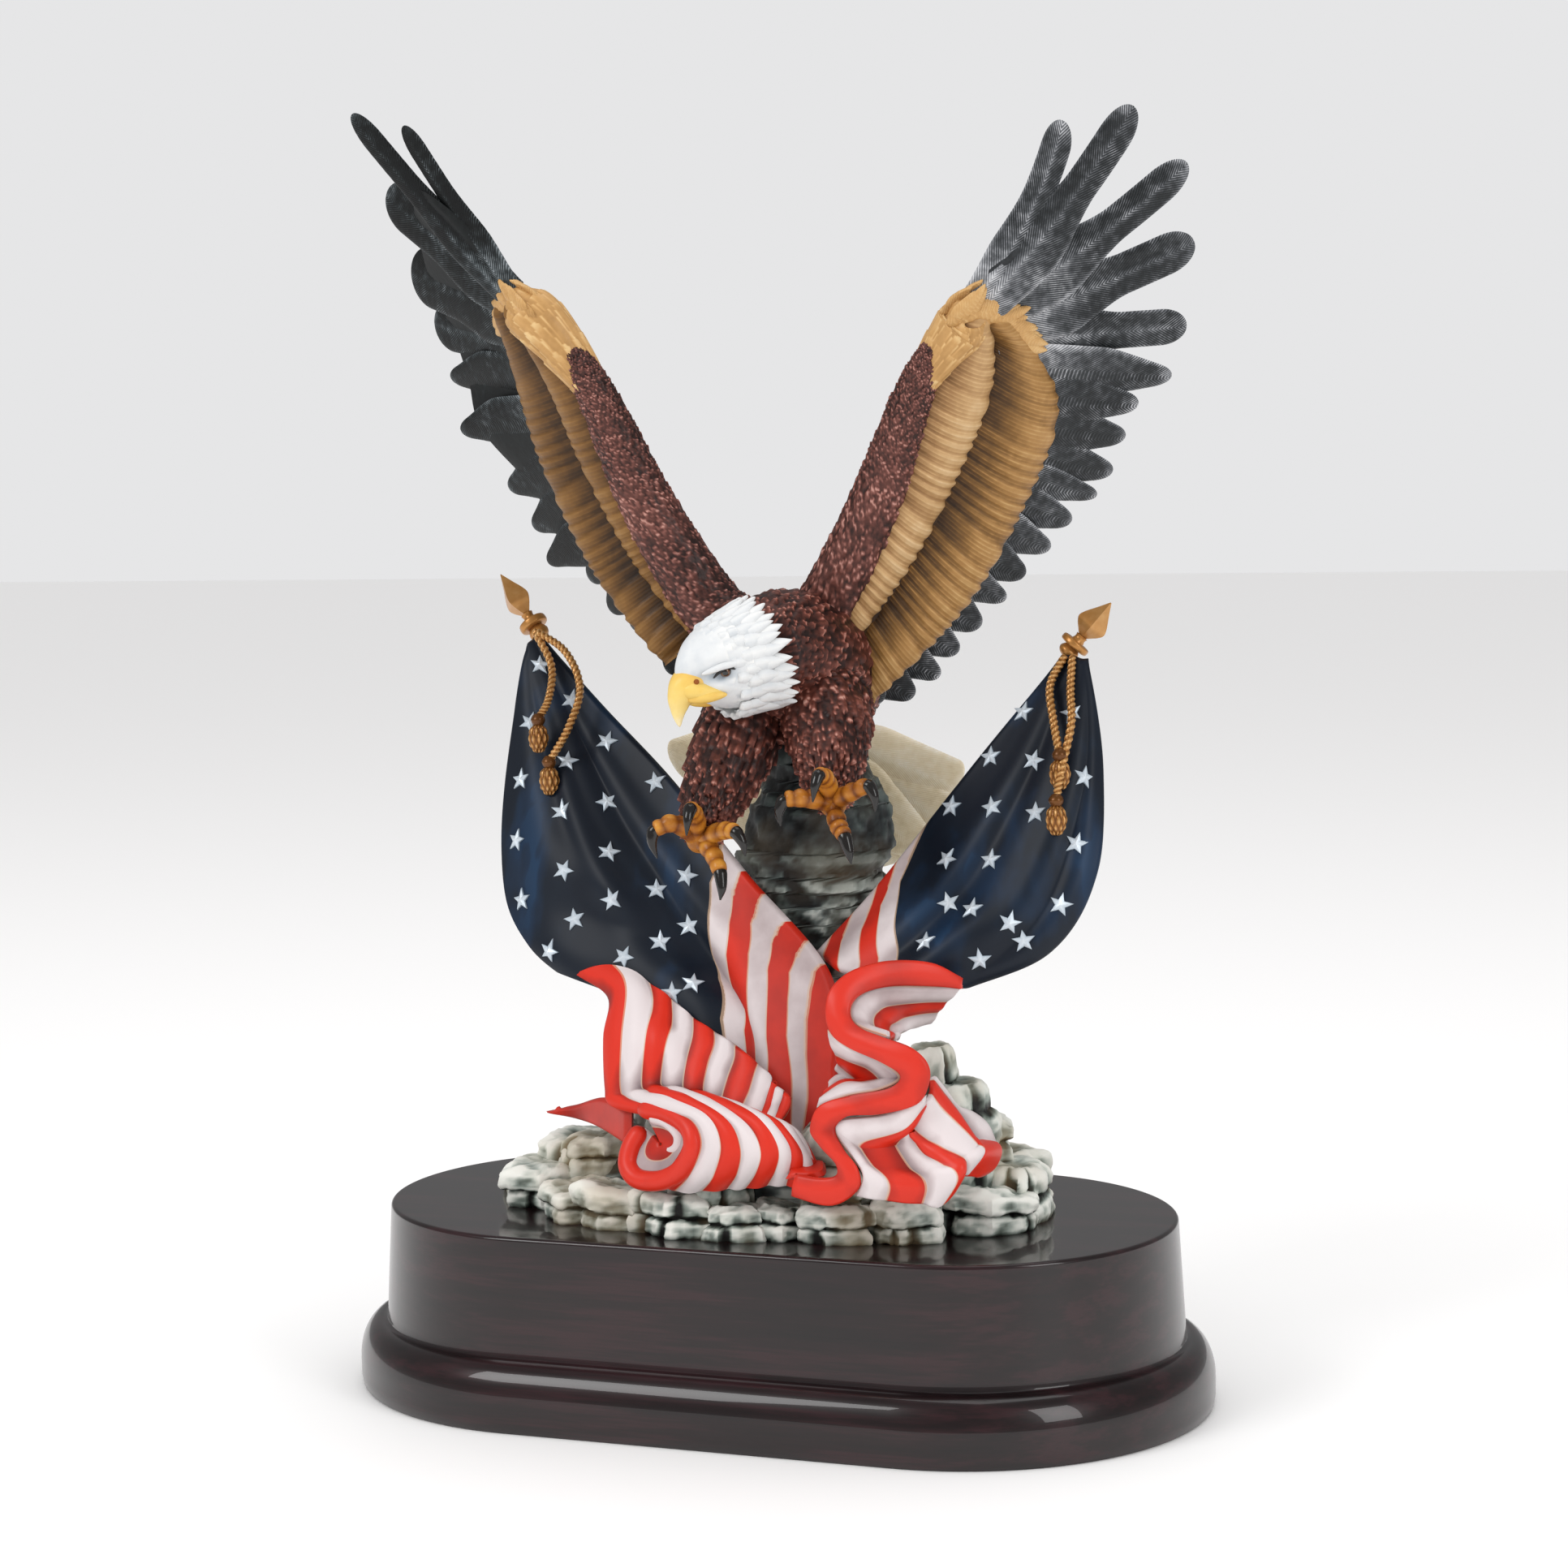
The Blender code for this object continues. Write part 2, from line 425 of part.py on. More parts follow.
def casting(home):
    """Pours the shapes into one body: its skin is remeshed, made lighter and cut flat at the seat."""
    cast = bmesh.new()
    eagle(cast)
    flags(cast)
    rock(cast)
    shapes = bpy.data.meshes.new("eagle_casting")
    cast.to_mesh(shapes)
    cast.free()
    made = bpy.data.objects.new("eagle_casting", shapes)
    home.objects.link(made)
    pour = made.modifiers.new("pour", "REMESH")
    pour.mode = "VOXEL"
    pour.voxel_size = VOXEL
    soften = made.modifiers.new("soften", "SMOOTH")
    soften.factor = 0.35
    soften.iterations = 1
    body = bmesh.new()
    body.from_mesh(evaluated(made))
    largest_shell(body)
    bmesh.ops.triangulate(body, faces=body.faces[:])
    body.to_mesh(shapes)
    made.modifiers.clear()
    lighter = made.modifiers.new("lighter", "DECIMATE")
    lighter.ratio = CASTING_FACES / len(body.faces)
    body.clear()
    body.from_mesh(evaluated(made))
    made.modifiers.clear()
    cut = bmesh.ops.bisect_plane(body, geom=body.verts[:] + body.edges[:] + body.faces[:], dist=0.02,
                                 plane_co=(0, 0, SEAT_CUT), plane_no=(0, 0, -1), clear_outer=True)
    rim = [edge for edge in cut["geom_cut"] if isinstance(edge, bmesh.types.BMEdge)]
    bmesh.ops.holes_fill(body, edges=rim, sides=0)
    bmesh.ops.triangulate(body, faces=body.faces[:])
    largest_shell(body)
    bmesh.ops.recalc_face_normals(body, faces=body.faces[:])
    stand = Matrix.Translation((0, 0, SEAT)) @ Matrix.Scale(UNIT, 4) @ Matrix.Translation((0, 0, -SEAT_CUT))
    bmesh.ops.transform(body, matrix=stand, verts=body.verts[:])
    body.to_mesh(shapes)
    body.free()
    shapes.materials.append(material("painted_resin", (0.30, 0.20, 0.16), 0.5))


def evaluated(made):
    """Gives an object's mesh as its modifiers leave it."""
    graph = bpy.context.evaluated_depsgraph_get()
    graph.update()
    return bpy.data.meshes.new_from_object(made.evaluated_get(graph))


def plinth(home):
    """Makes the plinth: a turned profile of half its width, drawn apart into a racetrack."""
    half = PLINTH_WIDTH / 2
    wall = half - FOOT_INSET
    top = wall - BLOCK_TAPER
    swell = FOOT_HEIGHT - 0.0045
    profile = [(top - EDGE_ROUND * 2, PLINTH_HEIGHT), (top - EDGE_ROUND * 0.6, PLINTH_HEIGHT - EDGE_ROUND * 0.25),
               (top, PLINTH_HEIGHT - EDGE_ROUND), (wall, FOOT_HEIGHT + 0.0008), (wall + 0.0006, FOOT_HEIGHT)]
    for k in range(6):
        a = math.radians(90 * k / 5)
        profile.append((wall + 0.0014 + (half - wall - 0.0014) * math.sin(a), swell * 0.55 + swell * 0.62 * math.cos(a)))
    profile += [(half, swell * 0.25), (half - 0.0012, 0.0)]
    cage = bpy.data.meshes.new("plinth")
    points = [(0, 0, PLINTH_HEIGHT)] + [(x, 0, z) for x, z in profile] + [(0, 0, 0)]
    cage.from_pydata(points, [(i, i + 1) for i in range(len(points) - 1)], [])
    made = bpy.data.objects.new("plinth", cage)
    home.objects.link(made)
    turn = made.modifiers.new("turn", "SCREW")
    turn.steps = 48
    turn.render_steps = 48
    turn.use_merge_vertices = True
    turn.merge_threshold = 0.00001
    solid = evaluated(made)
    made.modifiers.clear()
    body = bmesh.new()
    body.from_mesh(solid)
    bpy.data.meshes.remove(solid)
    shift = (PLINTH_LENGTH - PLINTH_WIDTH) / 2
    cut_geom = body.verts[:] + body.edges[:] + body.faces[:]
    bmesh.ops.bisect_plane(body, geom=cut_geom, plane_co=(0, 0, 0), plane_no=(1, 0, 0), dist=0.00001)
    for vert in body.verts:
        vert.co.x += math.copysign(shift, vert.co.x) if abs(vert.co.x) > 0.00001 else 0
    bmesh.ops.triangulate(body, faces=body.faces[:])
    bmesh.ops.recalc_face_normals(body, faces=body.faces[:])
    final = bpy.data.meshes.new("plinth")
    body.to_mesh(final)
    body.free()
    made.data = final
    final.materials.append(material("rosewood_lacquer", (0.035, 0.012, 0.014), 0.12, 1.0))
    return made


clear_scene()
trophy = collection("eagle_trophy")
plinth(trophy)
casting(trophy)
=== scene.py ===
"""Looks of the eagle trophy: the sculpted and painted skin over the frame's plinth and casting.

The sculpture is written in units: thousandths of the frame's metre, with the casting's seat at 0.6 units.
x runs to the right, y to the back and z up.
"""
import math
import random

import bpy
import numpy as np
from mathutils import Matrix, Vector, noise


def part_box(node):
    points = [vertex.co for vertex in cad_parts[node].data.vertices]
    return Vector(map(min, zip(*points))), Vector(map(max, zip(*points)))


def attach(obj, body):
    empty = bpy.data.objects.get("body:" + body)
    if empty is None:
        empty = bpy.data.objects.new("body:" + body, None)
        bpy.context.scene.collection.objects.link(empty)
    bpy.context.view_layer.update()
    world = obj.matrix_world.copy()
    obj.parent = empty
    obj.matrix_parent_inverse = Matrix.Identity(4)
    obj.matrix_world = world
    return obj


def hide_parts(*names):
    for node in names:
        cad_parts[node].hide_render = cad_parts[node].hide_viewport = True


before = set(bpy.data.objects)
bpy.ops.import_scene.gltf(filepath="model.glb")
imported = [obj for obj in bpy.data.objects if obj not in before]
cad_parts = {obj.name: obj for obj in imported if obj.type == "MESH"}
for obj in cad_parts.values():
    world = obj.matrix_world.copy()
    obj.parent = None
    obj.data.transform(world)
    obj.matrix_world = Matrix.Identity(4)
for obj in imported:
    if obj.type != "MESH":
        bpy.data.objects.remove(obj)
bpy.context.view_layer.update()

bpy.ops.object.select_all(action="DESELECT")
seat_low, seat_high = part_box("eagle_casting")
plinth_low, plinth_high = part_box("plinth")
UNIT = (seat_high[2] - seat_low[2]) / 308.9
BASE = np.array([0.0, 0.0, seat_low[2] - 0.6 * UNIT])

# Thickness of the flags, and radius of the cords
FLAG_THICK = 3.4
CORD_RADIUS = 1.25

# Share of a limb's run that its rounded cap takes
CAP = 0.05

# Wings: arm from shoulder to wrist, outer edge of the coverts from armpit to wrist, and the feather tips
RIGHT_ARM = [(10, 4, 168), (31, -8, 201), (46, -17, 225), (58, -23, 243), (64, -24, 249)]
RIGHT_EDGE = [(27, 3, 144), (53, 9, 172), (70, 11, 201), (80, 6, 223), (78, 0, 238), (71, -15, 246)]
RIGHT_TIPS = [
    (94.7, -26, 297), (112.7, -23, 300), (119.5, 8, 287.6), (118, 22, 267.6), (114, 29, 245.4),
    (109.4, 30, 231.8), (100.4, 28, 224.2), (95.1, 34, 215.4), (90.3, 38, 205.8), (85.7, 38, 199.3),
    (78.7, 36, 192), (73, 34, 184.5), (66, 32, 177), (61, 30, 170.5), (54.6, 26, 163), (49.2, 22, 156),
    (45, 18, 149.5), (38.5, 14, 144), (30, 10, 142.5)
]
LEFT_ARM = [
    (-10, 4, 169), (-23, -5, 190), (-34, -12, 213), (-42, -19, 233), (-52, -24, 249), (-61, -25, 256)
]
LEFT_EDGE = [(-29, 1, 155), (-53, 8, 182), (-69, 10, 212), (-74, 5, 234), (-72, -8, 248), (-69, -17, 255)]
LEFT_TIPS = [
    (-95.5, -26, 305.6), (-112.9, -23, 310), (-117.4, 6, 290), (-118, 22, 268.5), (-114.2, 29, 253.1),
    (-109.8, 30, 237.3), (-106, 28, 221.5), (-93.6, 34, 204.3), (-87.8, 38, 192.6), (-83.3, 38, 182),
    (-68.2, 34, 177), (-60.1, 30, 168), (-51.3, 26, 162.9), (-41.8, 20, 155.9), (-34.9, 12, 151)
]

# Flags: rows of curves from the finial down, from the pole's side to the outer edge
LEFT_FLAG = [
    [(-79, 22, 161), (-55, 12, 141), (-30, 2, 121), (-3, -10, 96), (25, -21, 70), (29, -29, 43),
     (28, -34, 22)],
    [(-80, 21, 161), (-60, 10, 137), (-38, -2, 112), (-18, -11, 91), (0, -17, 71), (11, -26, 48),
     (15, -34, 28)],
    [(-81, 20, 160), (-66, 9, 136), (-49, -5, 109), (-32, -13, 89), (-17, -16, 72), (-3, -24, 58),
     (3, -30, 38)],
    [(-82, 19, 159), (-72, 7, 134), (-60, -7, 109), (-51, -15, 95), (-43, -18, 82), (-31, -24, 69),
     (-20, -28, 56)],
    [(-82, 18, 158), (-83, 12, 140), (-83, 4, 120), (-82, -2, 101), (-78, -8, 85), (-69, -14, 75),
     (-57, -18, 68)]
]
RIGHT_FLAG = [
    [(82, 18, 156), (62, 9, 131), (43, 1, 106), (31, -5, 90), (17, -12, 74)],
    [(84, 16, 156), (74, 2, 124), (60, -9, 97), (46, -16, 83), (30, -20, 70)],
    [(87, 15, 155), (88, -1, 123), (80, -13, 93), (66, -19, 79), (48, -24, 68)],
    [(89, 15, 155), (95, 6, 124), (96, -4, 98), (85, -10, 78), (62, -16, 68)]
]

# Cords and tassels
CORDS = [
    [(-79, 17, 163), (-71, 11, 153), (-68, 2, 144), (-70, -1.5, 138)],
    [(-79, 17, 163), (-67, 12, 157), (-59, 4, 147), (-60, -2.5, 136), (-66, -3.5, 126)],
    [(83, 13, 156), (80, 8, 148), (83, 0, 139), (86, -5, 130)],
    [(85, 13, 156), (86, 7, 147), (88, 0, 138), (87, -6, 127), (86, -9, 118)]
]
TASSEL_LENGTH = 9

# Eagle's body, head and limbs
SPINE = [
    (7.4, -31.2, 158, 11.6), (8, -20, 158, 16), (9, -6, 155, 20), (9, 8, 149, 20.5), (7, 20, 141, 15.5),
    (5, 29, 134, 9)
]
SHOULDER_JOINT = (8, 2, 157)
HEAD = (1.2, -38, 155)
GAZE = (-0.58, -0.75, -0.32)
LEFT_LEG = [
    (-1, -10, 146, 11), (-2, -20, 134, 11), (-4, -31, 121, 8.5), (-5, -38, 112, 5.4), (-5, -41, 109, 3.4)
]
RIGHT_LEG = [
    (20, -8, 146, 12), (24, -18, 138, 11.5), (28, -27, 129, 8.5), (31, -35, 121, 5), (32, -37, 119, 3.2)
]
LEFT_TOES = [
    [(-9, -49, 114), (-14, -52, 112.5), (-13, -52, 105)],
    [(-3, -49, 116), (-2, -55, 119), (-2, -58, 112)],
    [(4, -47, 112), (9.5, -51, 112.5), (12, -51, 106)],
    [(0, -45, 106), (4, -49, 101), (4.5, -51, 94)]
]
RIGHT_TOES = [
    [(27, -45, 121), (22, -48, 121), (21, -48, 114)],
    [(33, -45, 126), (33, -51, 128), (32, -53, 121)],
    [(38, -42, 122), (45, -45, 125), (47, -46, 118)],
    [(35, -42, 114), (38, -45, 111), (40, -46, 104)]
]

# Tail fan, seen behind the body
TAIL_ROOT = (5, 24, 137)
TAIL_TIPS = [
    (-46, 42, 121), (-39, 47, 107), (-27, 51, 97), (-12, 54, 91), (3, 55, 89), (16, 54, 91), (27, 51, 96),
    (37, 48, 105), (42, 45, 116)
]

# Rock: rings of the core from the foot up (x, y, half width, half depth, height) and the loose slabs round it
CORE = [
    (-2, 0, 62, 36, 0), (-2, 0, 60, 35, 9), (0, -2, 46, 32, 17), (2, -2, 42, 28, 30), (4, 0, 33, 22, 46),
    (6, 3, 26, 17, 62), (9, 7, 19, 15, 78), (10, 8, 22, 17, 84), (10, 8, 21, 17, 96), (11, 8, 23, 18, 99),
    (12, 8, 20, 17, 113), (12, 8, 16, 14, 122), (11, 6, 12, 12, 136)
]
SLABS = [
    (-77, 3, 11, 14, 0, 7), (-66, -15, 15, 14, 0, 12), (-57, -4, 16, 16, 0, 18), (-47, -30, 12, 11, 0, 10),
    (-34, -35, 14, 12, 0, 11), (-13, -39, 15, 12, 0, 11), (2, -41, 11, 11, 0, 9), (16, -36, 10, 10, 0, 9),
    (31, -37, 15, 12, 0, 10), (47, -32, 14, 12, 0, 12), (64, -13, 15, 14, 0, 12), (70, 3, 14, 15, 0, 15),
    (57, 19, 17, 14, 0, 15), (42, 32, 17, 13, 0, 14), (18, 36, 17, 13, 0, 17), (-8, 37, 18, 13, 0, 13),
    (-33, 34, 18, 13, 0, 17), (-56, 22, 18, 15, 0, 12), (-38, 14, 17, 15, 8, 27), (-50, -12, 12, 11, 8, 20),
    (48, 4, 15, 13, 9, 26), (57, 6, 12, 12, 9, 27), (34, 9, 12, 12, 24, 43), (24, 25, 16, 12, 10, 33),
    (-12, 25, 17, 12, 8, 29), (4, 21, 14, 11, 26, 58)
]

# Where each flight feather starts, as shares of the run from shoulder to wrist
RIGHT_ROOTS = [
    1.0, 0.98, 0.96, 0.92, 0.82, 0.7, 0.61, 0.53, 0.46, 0.42, 0.37, 0.32, 0.27, 0.22, 0.17, 0.12, 0.07,
    0.03, 0.02
]
LEFT_ROOTS = [1.0, 0.98, 0.98, 0.84, 0.71, 0.6, 0.49, 0.37, 0.31, 0.25, 0.22, 0.15, 0.12, 0.06, 0.02]

# Longest feathers of each wing, from the front, as (width, taper, sweep)
RIGHT_FINGERS = [(11.0, 0.26, -3.4), (16.5, 0.45, -2.0), (17.5, 0.47, -1.6), (20.0, 0.44, -0.6),
                 (17.0, 0.40, 0.0)]
LEFT_FINGERS = [(9.5, 0.35, 1.5), (11.5, 0.35, 1.5), (20.0, 0.25, 0.5), (23.0, 0.22, 0.0), (21.0, 0.30, 0.0)]

# How far the web between the feathers reaches down each, the last value for all that follow
RIGHT_WEBS = [0.24, 0.34, 0.38, 0.42, 0.46, 0.56, 0.55]
LEFT_WEBS = [0.45, 0.60, 0.78, 0.84, 0.84, 0.84, 0.82, 0.76]

# Other flight feathers: least and greatest width, width for each unit between tips, taper, start of tip
RIGHT_WIDTHS = (11, 16, 1.5, 0.42, 0.76)
LEFT_WIDTHS = (11, 17, 1.3, 0.45, 0.72)

# Cuff of wrist feathers, as (share along the arm, share across, radius), and the sleeve as (share, radius)
CUFF = [(0.54, 0.06, 3.4), (0.62, 0.08, 5.0), (0.72, 0.13, 6.4), (0.84, 0.20, 7.4), (0.94, 0.26, 6.8),
        (1.0, 0.30, 4.8)]
SLEEVE = [(0.0, 9.2), (0.15, 8.4), (0.3, 7.4), (0.42, 6.4), (0.54, 5.4), (0.64, 4.4), (0.72, 2.8)]

# Boulders of the skin alone, as (x, y, half length, half width, low, high)
BOULDERS = [
    (58, -10, 13, 12, 10, 40), (50, -14, 10, 10, 14, 50), (30, -37, 12, 8, 6, 31), (-4, -36, 14, 8, 6, 27)
]

# Stars on each flag as shares across and down its cloth
LEFT_STARS = [
    (0.55, 0.055), (0.278, 0.132), (0.86, 0.17), (0.185, 0.218), (0.598, 0.228), (0.915, 0.3),
    (0.082, 0.32), (0.43, 0.305), (0.728, 0.31), (0.935, 0.462), (0.565, 0.402), (0.808, 0.508),
    (0.248, 0.473), (0.45, 0.488), (0.942, 0.638), (0.67, 0.55), (0.832, 0.685), (0.413, 0.572),
    (0.598, 0.658), (0.942, 0.84), (0.76, 0.79), (0.592, 0.792), (0.678, 0.862)
]
RIGHT_STARS = [
    (0.098, 0.15), (0.608, 0.118), (0.085, 0.265), (0.372, 0.222), (0.753, 0.25), (0.07, 0.395),
    (0.275, 0.34), (0.525, 0.325), (0.84, 0.4), (0.232, 0.49), (0.418, 0.445), (0.378, 0.608),
    (0.498, 0.598), (0.87, 0.57), (0.67, 0.612), (0.85, 0.72), (0.49, 0.79), (0.745, 0.808)
]

# Borders between the canton and the stripes, each from the pole side down, in the same shares
LEFT_BORDERS = [
    [(0.0, 0.445), (0.035, 0.462), (0.165, 0.495), (0.262, 0.552), (0.408, 0.658), (0.473, 0.728),
     (0.545, 0.865), (0.56, 1.0)],
    [(0.0, 0.49), (0.112, 0.52), (0.218, 0.575), (0.31, 0.642), (0.388, 0.722), (0.482, 0.865), (0.49, 1.0)],
    [(0.0, 0.533), (0.052, 0.545), (0.138, 0.578), (0.225, 0.642), (0.298, 0.718), (0.385, 0.812),
     (0.418, 0.893), (0.43, 1.0)],
    [(0.0, 0.575), (0.068, 0.59), (0.122, 0.615), (0.188, 0.668), (0.232, 0.732), (0.29, 0.812),
     (0.322, 0.893), (0.34, 1.0)],
    [(0.0, 0.61), (0.062, 0.633), (0.122, 0.672), (0.155, 0.722), (0.185, 0.788), (0.19, 0.88), (0.2, 1.0)],
    [(0.0, 0.645), (0.045, 0.662), (0.082, 0.698), (0.112, 0.75), (0.125, 0.812), (0.128, 0.9),
     (0.155, 1.0)]
]
RIGHT_BORDERS = [
    [(0.0, 0.44), (0.108, 0.642), (0.272, 0.758), (0.44, 0.872), (0.62, 1.0)],
    [(0.0, 0.57), (0.132, 0.748), (0.38, 0.902), (0.5, 1.0)],
    [(0.0, 0.69), (0.16, 0.848), (0.32, 0.938), (0.4, 1.0)],
    [(0.0, 0.81), (0.118, 0.92), (0.22, 0.972), (0.27, 1.0)],
    [(0.0, 0.905), (0.085, 0.985), (0.1, 1.0)]
]

# Cloth laid on the rock: each curve is the border between two stripes
LEFT_DRAPE_COLUMNS = [
    [(-54.2, -20, 68), (-38.9, -27, 62.3), (-37.8, -33, 52.1), (-36, -37, 38.8), (-33.3, -40, 34.7),
     (-19.4, -45, 33.9), (-9.1, -50, 32.7), (-6.7, -52, 27.8), (-9.9, -52, 22.6), (-16.6, -50, 17.1)],
    [(-38.9, -23, 70.8), (-31.7, -30, 65.7), (-30.2, -37, 53.1), (-29.6, -40, 39.6), (-25.9, -43, 37),
     (-15.1, -49, 36.6), (-3.4, -54, 35), (0.5, -56, 29), (-3.7, -54, 20.7), (-11.3, -49, 14.1)],
    [(-27, -26, 66.7), (-23.7, -32, 61.1), (-23, -38, 53.6), (-23.1, -41, 40.8), (-19.1, -45, 39),
     (-10.3, -50, 39), (1.9, -55, 35.5), (6, -57, 29.1), (3, -55, 21.2), (-3.7, -49, 14.7)],
    [(-19.4, -28, 62.7), (-17.5, -33, 56.8), (-17.3, -38, 51.8), (-17.5, -41, 41.1), (-13.4, -46, 40.2),
     (-4.5, -51, 39.1), (7.2, -55, 34.7), (11.6, -57, 28.7), (9.8, -55, 22.3), (3.8, -49, 15.6)],
    [(-12.4, -30, 58.3), (-11, -34, 53.4), (-11.4, -38, 47.3), (-10.7, -42, 40), (-6.1, -47, 39.8),
     (1.8, -51, 38.5), (12.8, -55, 34.3), (17.1, -57, 28.4), (14.9, -55, 22.6), (9, -49, 16.1)],
    [(-5.3, -32, 54.9), (-4.2, -35, 51.2), (-5, -38, 46.3), (-4.8, -42, 39.2), (0.3, -47, 39),
     (7.2, -51, 38.1), (16.7, -55, 35.2), (21.4, -56, 29), (20, -54, 23.3), (15.5, -49, 17.2)],
    [(1.6, -34, 51.9), (2.1, -36, 48.2), (1, -39, 42.9), (0.8, -43, 36.9), (4.9, -47, 37.2),
     (11.3, -51, 36.7), (18.4, -54, 34.4), (23.8, -54, 28.1), (23, -52, 22.4), (21.1, -49, 17.3)],
    [(8.7, -36, 47.2), (8.9, -38, 45.1), (8.3, -41, 40.3), (7.3, -44, 35.9), (10.5, -47, 35.7),
     (14.9, -50, 35.2), (21.5, -53, 33.5), (26.3, -52, 26.5), (26.1, -50, 20.9), (24.6, -48, 16.6)],
    [(13.4, -38, 44), (13.8, -40, 41.7), (13.1, -42, 38), (13, -45, 34.4), (15.1, -47, 34), (19, -50, 33.6),
     (23.5, -51, 31.9), (27.6, -50, 24.2), (28.5, -49, 19.5), (27, -47, 15.9)],
    [(14.9, -39, 42.4), (14.7, -40, 40.4), (14.5, -42, 36.8), (14.4, -45, 34.2), (16.5, -47, 33.6),
     (19.9, -50, 33.3), (24.4, -51, 31.3), (27.9, -49, 23.4), (28.8, -48, 19.1), (27.4, -46, 15.3)],
    [(17.8, -40, 41), (17.9, -41, 39.2), (17.4, -43, 36), (17.3, -46, 33.5), (18.6, -47, 33),
     (20.9, -49, 32.7), (24.9, -50, 30.2), (28.4, -49, 23.2), (29.1, -48, 18.9), (27.6, -46, 15.3)],
    [(20.2, -41, 39.3), (20.1, -42, 37), (19.6, -44, 35), (18.4, -46, 33.1), (20, -47, 32.7),
     (21.7, -48, 31.9), (25.2, -49, 28.9), (28.2, -48, 22.5), (29.2, -47, 18.4), (27.7, -45, 14.8)]
]
SCROLL_ROLL = [
    (-22.1, -44, 29.9), (-25, -46, 24.6), (-25.2, -48, 19.6), (-21.3, -50, 16.6), (-13.6, -52, 17.2),
    (-7, -54, 21.1), (-3.2, -55, 27.5), (-5.3, -53, 32.5), (-13, -49, 35.2), (-23, -45, 35)
]
SCROLL_CURL = [
    (-18.6, -47, 33.6), (-13, -49, 32.9), (-9.1, -50, 29.8), (-9.6, -49, 26), (-12.6, -47, 24.8),
    (-13.9, -46, 27.4)
]
REAR_TIP_TOP = [(-61.4, -12, 26.9), (-53.7, -16, 29.5), (-41, -26, 33.8), (-28.1, -38, 32.8)]
REAR_TIP_LOW = [(-66.9, -10, 25.6), (-54.7, -14, 24.8), (-42.9, -24, 24.3), (-29.2, -36, 22.3)]
RIM_LEFT = [
    (64.3, -26, 71.3), (57.6, -32, 76.1), (47.6, -39, 77.4), (39.4, -45, 75.4), (34.8, -49, 71.1),
    (33.8, -51, 65.5), (35.4, -52, 59.6), (40.6, -53, 56.1), (49.9, -54, 52.8), (54.8, -54, 50.2),
    (54.8, -54, 47.7), (50.9, -54, 45.5), (41.9, -54, 43.6), (33.1, -55, 40.5), (30.3, -55, 34.1),
    (33.3, -56, 30.1), (38.1, -57, 25.8), (38, -57, 22.5), (33.5, -57, 21.6), (26.3, -56, 22.1)
]
RIM_RIGHT = [
    (64.3, -26, 68.4), (57.5, -32, 69.7), (48.7, -39, 70.5), (42.9, -45, 69.5), (40.6, -49, 66.9),
    (41.2, -51, 63.4), (44.7, -52, 60.9), (50.8, -53, 59.2), (58.7, -54, 56.9), (63.1, -54, 52.8),
    (63.3, -54, 47.6), (59.8, -54, 41.9), (49.7, -54, 38.8), (41.2, -55, 38.1), (37.5, -55, 34.3),
    (40.1, -56, 29.4), (44.4, -57, 24.4), (44.3, -57, 19), (36.7, -57, 14.2), (25, -56, 15.9)
]
LOBE = [
    [(64.3, -26, 69.3), (54.7, -33, 70), (45.8, -40, 70.8), (40.8, -45, 68.7), (39.9, -49, 65.2),
     (42.3, -51, 61.9), (52, -53, 59.4)],
    [(59.7, -24, 65.3), (53.3, -29, 65.6), (46.2, -34, 65), (43.9, -40, 63.5), (44, -44, 61.5),
     (46.1, -47, 59.5), (51.4, -50, 58.7)],
    [(56.3, -22, 62), (51.8, -26, 61.8), (48.3, -30, 60.9), (46.6, -34, 59.5), (46.8, -38, 58.7),
     (48.3, -42, 58.1), (51.4, -46, 57.8)],
    [(52.8, -19, 58), (50.9, -22, 57.5), (49.3, -25, 56.9), (48.8, -29, 56.6), (48.7, -33, 56.6),
     (49.4, -37, 56.6), (51.5, -42, 57.1)]
]
HOLLOW_CLOTH = [
    [(34.3, -51, 60.3), (40.1, -52, 56.4), (48.1, -53, 53.9), (55.1, -53, 49), (49.7, -53, 45.3),
     (40.2, -53, 43.1), (31.8, -54, 39.6)],
    [(34.5, -46, 53.6), (39.2, -47, 52), (44.6, -47, 50.1), (47.9, -47, 46.7), (42.9, -47, 45),
     (37.6, -48, 44.7), (31.8, -50, 40.9)],
    [(33.6, -41, 50.1), (36.1, -41, 48.2), (38.6, -41, 46.3), (40.2, -41, 45.1), (37, -41, 44.3),
     (34.6, -42, 44.1), (32, -46, 42.3)],
    [(30.9, -36, 47.5), (31.7, -35, 46.3), (32.6, -35, 45.2), (33.5, -35, 44.8), (32.1, -35, 44.7),
     (31.1, -36, 44.4), (30.9, -40, 43.6)]
]
